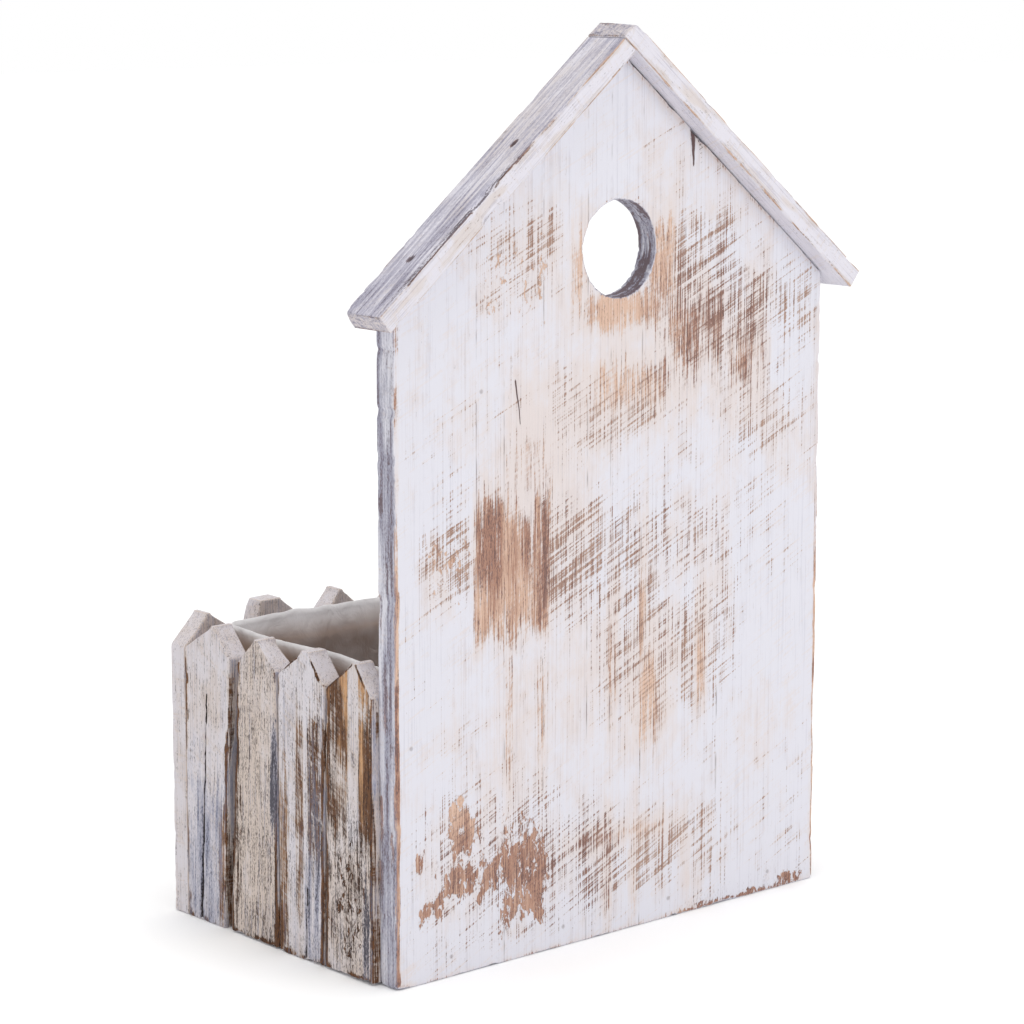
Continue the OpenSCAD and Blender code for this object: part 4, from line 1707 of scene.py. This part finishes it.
BARE, HATCH, CHIP, BURN, WARM, COOL = Channel
PANEL_PATCHES = (
    # Dark rubbed columns and the tan wood below them
    Patch(BARE, 67, 163, 12, 36, 0.82, soft=0.5),
    Patch(BURN, 70, 176, 8, 24, 0.85, soft=0.8, ragged=0.4),
    Patch(BARE, 52, 162, 9, 36, 0.78, soft=0.6, ragged=0.4),
    Patch(BURN, 50, 174, 5, 22, 0.6, soft=0.8, ragged=0.4),
    Patch(BARE, 41, 163, 4, 38, 0.8, soft=0.6, ragged=0.4),
    Patch(BURN, 41, 166, 3, 30, 0.9, soft=0.8, ragged=0.4),
    Patch(BARE, 50, 206, 18, 22, 0.5, soft=0.9),
    Patch(HATCH, 24, 164, 24, 32, 0.95, soft=0.7),
    Patch(HATCH, -6, 160, 26, 32, 0.9, soft=0.8),
    Patch(HATCH, -36, 164, 36, 26, 0.84, soft=0.8),
    Patch(HATCH, -70, 176, 30, 12, 0.6, soft=0.8),
    Patch(HATCH, -28, 120, 54, 44, 0.84, soft=0.9),
    Patch(HATCH, 92, 170, 16, 28, 0.85, soft=0.8),
    Patch(CHIP, 92, 170, 14, 20, 0.46, soft=0.8),
    Patch(BURN, 15, 154, 80, 46, 0.25),
    # Streaks below
    Patch(BARE, -14, 140, 3, 46, 0.74, soft=0.9),
    Patch(BARE, -17, 100, 7, 30, 0.74, soft=0.9),
    Patch(BARE, 3, 120, 4, 44, 0.64, soft=0.9),
    Patch(BARE, -18, 98, 16, 26, 0.52, soft=0.9),
    Patch(BARE, -48, 112, 4, 26, 0.72, soft=0.9),
    Patch(BARE, 40, 110, 30, 36, 0.34, soft=0.9),
    Patch(BARE, 60, 104, 3, 44, 0.6, soft=0.9),
    Patch(BARE, 42, 104, 3, 44, 0.6, soft=0.9),
    # Round and below the hole
    Patch(BARE, -24, 280, 9, 28, 0.78, soft=0.8),
    Patch(BARE, 23, 280, 4, 22, 0.62, soft=0.8),
    Patch(HATCH, -46, 280, 24, 30, 0.9, soft=0.8),
    Patch(BARE, -5, 264, 28, 13, 0.78, soft=0.9),
    Patch(BARE, 20, 284, 4, 26, 0.5, soft=0.8),
    Patch(HATCH, -64, 258, 30, 32, 0.95, soft=0.8),
    Patch(BARE, -72, 242, 14, 26, 0.64, soft=0.9),
    Patch(BARE, -44, 252, 24, 28, 0.7, soft=0.9),
    Patch(HATCH, -98, 262, 20, 26, 0.8, soft=0.8),
    Patch(HATCH, -86, 214, 32, 34, 0.72, soft=0.9),
    Patch(HATCH, 52, 288, 28, 28, 0.78, soft=0.9),
    Patch(CHIP, 56, 280, 22, 24, 0.42, soft=0.8),
    Patch(BARE, -8, 232, 30, 18, 0.66, soft=0.9),
    Patch(HATCH, 4, 222, 44, 28, 0.74, soft=0.9),
    Patch(BURN, -50, 256, 40, 36, 0.5),
    Patch(WARM, 36, 208, 30, 60, 0.9, soft=0.8),
    Patch(WARM, -16, 244, 40, 50, 0.7, soft=0.9),
    Patch(WARM, 50, 290, 40, 60, 0.6, soft=0.9),
    Patch(WARM, 20, 104, 80, 70, 0.45, soft=0.9),
    Patch(WARM, 0, 40, 90, 50, 0.35, soft=0.9),
    # Flaked and streaked foot
    Patch(CHIP, 85, 58, 8, 14, 0.72, soft=0.5, ragged=0.7),
    Patch(CHIP, 70, 39, 6, 12, 0.74, soft=0.5, ragged=0.7),
    Patch(CHIP, 52, 33, 13, 24, 0.7, soft=0.6, ragged=0.7),
    Patch(CHIP, 87, 39, 10, 5, 0.72, soft=0.5, ragged=0.6),
    Patch(CHIP, 102, 29, 6, 4, 0.74, soft=0.5, ragged=0.6),
    Patch(CHIP, 107, 50, 2.5, 5, 0.72, soft=0.5),
    Patch(HATCH, 70, 50, 44, 38, 0.78, soft=0.8),
    Patch(CHIP, 72, 46, 36, 26, 0.42, soft=0.7),
    Patch(HATCH, 24, 40, 32, 28, 0.84, soft=0.9),
    Patch(BARE, -4, 42, 36, 7, 0.62, soft=0.9),
    Patch(HATCH, -18, 30, 60, 26, 0.84, soft=0.9),
    Patch(BARE, 5.5, 24, 3, 40, 0.56, soft=0.8),
    Patch(BARE, -9, 26, 3, 36, 0.56, soft=0.8),
    Patch(BARE, -40, 27, 4, 14, 0.5, soft=0.8),
    Patch(HATCH, 60, 14, 54, 14, 0.6, soft=0.9),
    Patch(BURN, 60, 36, 60, 36, 0.6),
    Patch(CHIP, -70, 0, 46, 4, 0.62),
    Patch(CHIP, -104, 4, 10, 4, 0.62, soft=0.7),
    Patch(BURN, -80, 0, 50, 10, 0.8),
)
PANEL_CRACKS = (Crack(-41.5, -40.6, 321, 337, 0.5, 2.4), Crack(54, 56.5, 222, 240, 0.3, 0.6))

ROOF_RIGHT_PATCHES = (
    Patch(BARE, 11.9, 112, 1.8, 46, 1.1, soft=0.4),
    Patch(BURN, 11, 112, 3, 46, 1.2, soft=0.5),
    Patch(BARE, 3, 112, 6, 24, 0.5, soft=0.8),
    Patch(COOL, -3, 95, 10, 60, 0.5, soft=0.9),
    Patch(COOL, 0, 140, 11, 24, 0.75, soft=0.9),
    Patch(COOL, 0, 44, 14, 50, -0.3, soft=0.8),
    Patch(WARM, 0, 48, 14, 52, 0.6, soft=0.8),
)
ROOF_NAIL_MARKS = tuple(Hollow(across, along, 1.8, 2.34, depth=0.5, inner=0.5 / 1.8, outer=1.0)
                        for across, along in ((0.5, 66), (-0.5, 133)))
ROOF_TEARS = (Hollow(11.2, 98, 3, 7, depth=1.2, inner=0.5, outer=1.2),)

PICKET_COATS = {
    "right_picket_1": PicketCoat(
        bare=(0.3, 0.12), burn=(0.4, 0.1), warm=(0.1, 0.4), cool=(0.4, 0.0), edges=0.8,
        patches=(Patch(COOL, 0, 30, 14, 46, 0.66, soft=0.7), Patch(BARE, 12, 22, 4, 40, 0.75),
                 Patch(WARM, -2, 96, 14, 26, 0.7, soft=0.8)),
        cracks=(Crack(-4, -0.5, 0, 100, 1.8, 0.4),),
    ),
    "right_picket_2": PicketCoat(
        bare=(0.26, 0.1), burn=(1.0, 0.8), warm=(1.1, 0.9), cool=(0.0, 0.0), edges=0.9,
        patches=(Patch(COOL, 12.5, 76, 3, 40, 0.8, soft=0.9), Patch(BARE, -12, 40, 4, 50, 0.6),
                 Patch(BARE, 6, 26, 9, 36, 0.42), Patch(BARE, -2, 70, 6, 40, 0.36)),
    ),
    "right_picket_3": PicketCoat(
        bare=(0.2, 0.2), burn=(0.5, 0.3), warm=(0.3, 0.25), cool=(0.25, 0.1), edges=0.95, crest=0.9,
        patches=(Patch(COOL, 9, 66, 6, 56, 0.45, soft=0.7), Patch(BARE, -12, 40, 4, 50, 0.7),
                 Patch(BARE, -1, 60, 3, 60, 0.66), Patch(BARE, 9, 74, 5, 48, 0.66),
                 Patch(CHIP, 9, 74, 5, 48, 0.55), Patch(BURN, 9, 74, 6, 48, 0.8),
                 Patch(COOL, 8, 22, 6, 34, 0.62)),
        cracks=(Crack(3, 4, 0, 30, 1.0, 0.4),),
    ),
    "right_picket_4": PicketCoat(
        bare=(0.38, 0.78), burn=(0.5, 0.3), warm=(0.6, 0.5), cool=(0.12, 0.0), chip=(0.3, 0.2), edges=1.0,
        crest=0.9,
        patches=(
            Patch(BARE, -8, 84, 8, 40, 0.75), Patch(BURN, -11, 70, 4, 44, 0.9),
            Patch(BURN, -8, 112, 5, 14, 0.9, soft=0.9), Patch(BARE, -8, 84, 6, 9, -0.3, soft=0.9),
            Patch(BURN, -6, 40, 6, 34, 0.9), Patch(BURN, -2, 96, 3, 16, 0.7, soft=0.8),
            Patch(BARE, 3, 94, 3.6, 40, -0.75, soft=0.3, ragged=0.2),
            Patch(CHIP, 3, 94, 3.6, 40, -1, soft=0.3),
            Patch(BARE, 11, 82, 4, 36, 0.85), Patch(BURN, 12, 82, 3, 36, 0.9),
            Patch(COOL, 12, 18, 4, 30, 0.6, soft=0.8),
            Patch(CHIP, 2, 30, 14, 38, 0.48, soft=0.7), Patch(BURN, 2, 34, 15, 44, 1.2),
        ),
    ),
    "front_picket_7": PicketCoat(
        bare=(0.2, 0.1), burn=(0.1, 0.0), warm=(0.6, 0.6), cool=(0.3, 0.1), edges=0.6, rim=0.12,
    ),
}


def main() -> None:
    """Builds and dresses every piece, and reports it."""
    logging.basicConfig(level=logging.INFO, format="%(name)s: %(message)s")
    group = worn_whitewash()
    shape = outline(node_points("back_panel")[:, [0, 2]])
    peak = shape[:, 1].max()
    half = shape[:, 0].max()
    eave = shape[np.abs(shape[:, 0] - half) < MM, 1].max()
    pitch = math.atan2(peak - eave, half)
    BackPanel(PANEL_FINISH.material(group), patches=PANEL_PATCHES, cracks=PANEL_CRACKS).build()
    LOG.info("made the back panel")
    roof = ROOF_FINISH.material(group)
    RoofBoard("roof_board_right", 1, pitch, peak, roof, seed=21, patches=ROOF_RIGHT_PATCHES,
              nail_marks=ROOF_NAIL_MARKS, tears=ROOF_TEARS).build()
    RoofBoard("roof_board_left", -1, pitch, peak, roof, seed=22).build()
    LOG.info("made the roof")
    Fence(PICKET_FINISH.material(group), PICKET_COATS).build()
    LOG.info("made the fence")
    Liner(FilmFinish("milky_film").material()).build()
    LOG.info("made the liner")
    pine_x, pine_y = PineFinish("pine_across", 0).material(), PineFinish("pine_front_to_back", 90).material()
    brad = WireFinish("brad_wire", srgb(150, 148, 146)).material()
    staple = WireFinish("staple_wire", srgb(198, 198, 200)).material()
    finishes = {"base_board": pine_x, "front_rail": pine_x, "left_rail": pine_y, "right_rail": pine_y,
                "liner_staples": staple}
    finishes.update({n: brad for n in frame["nodes"] if n.endswith("_brads")})
    HiddenWork(finishes).build()
    Stage().build()


if __name__ == "__main__":
    main()
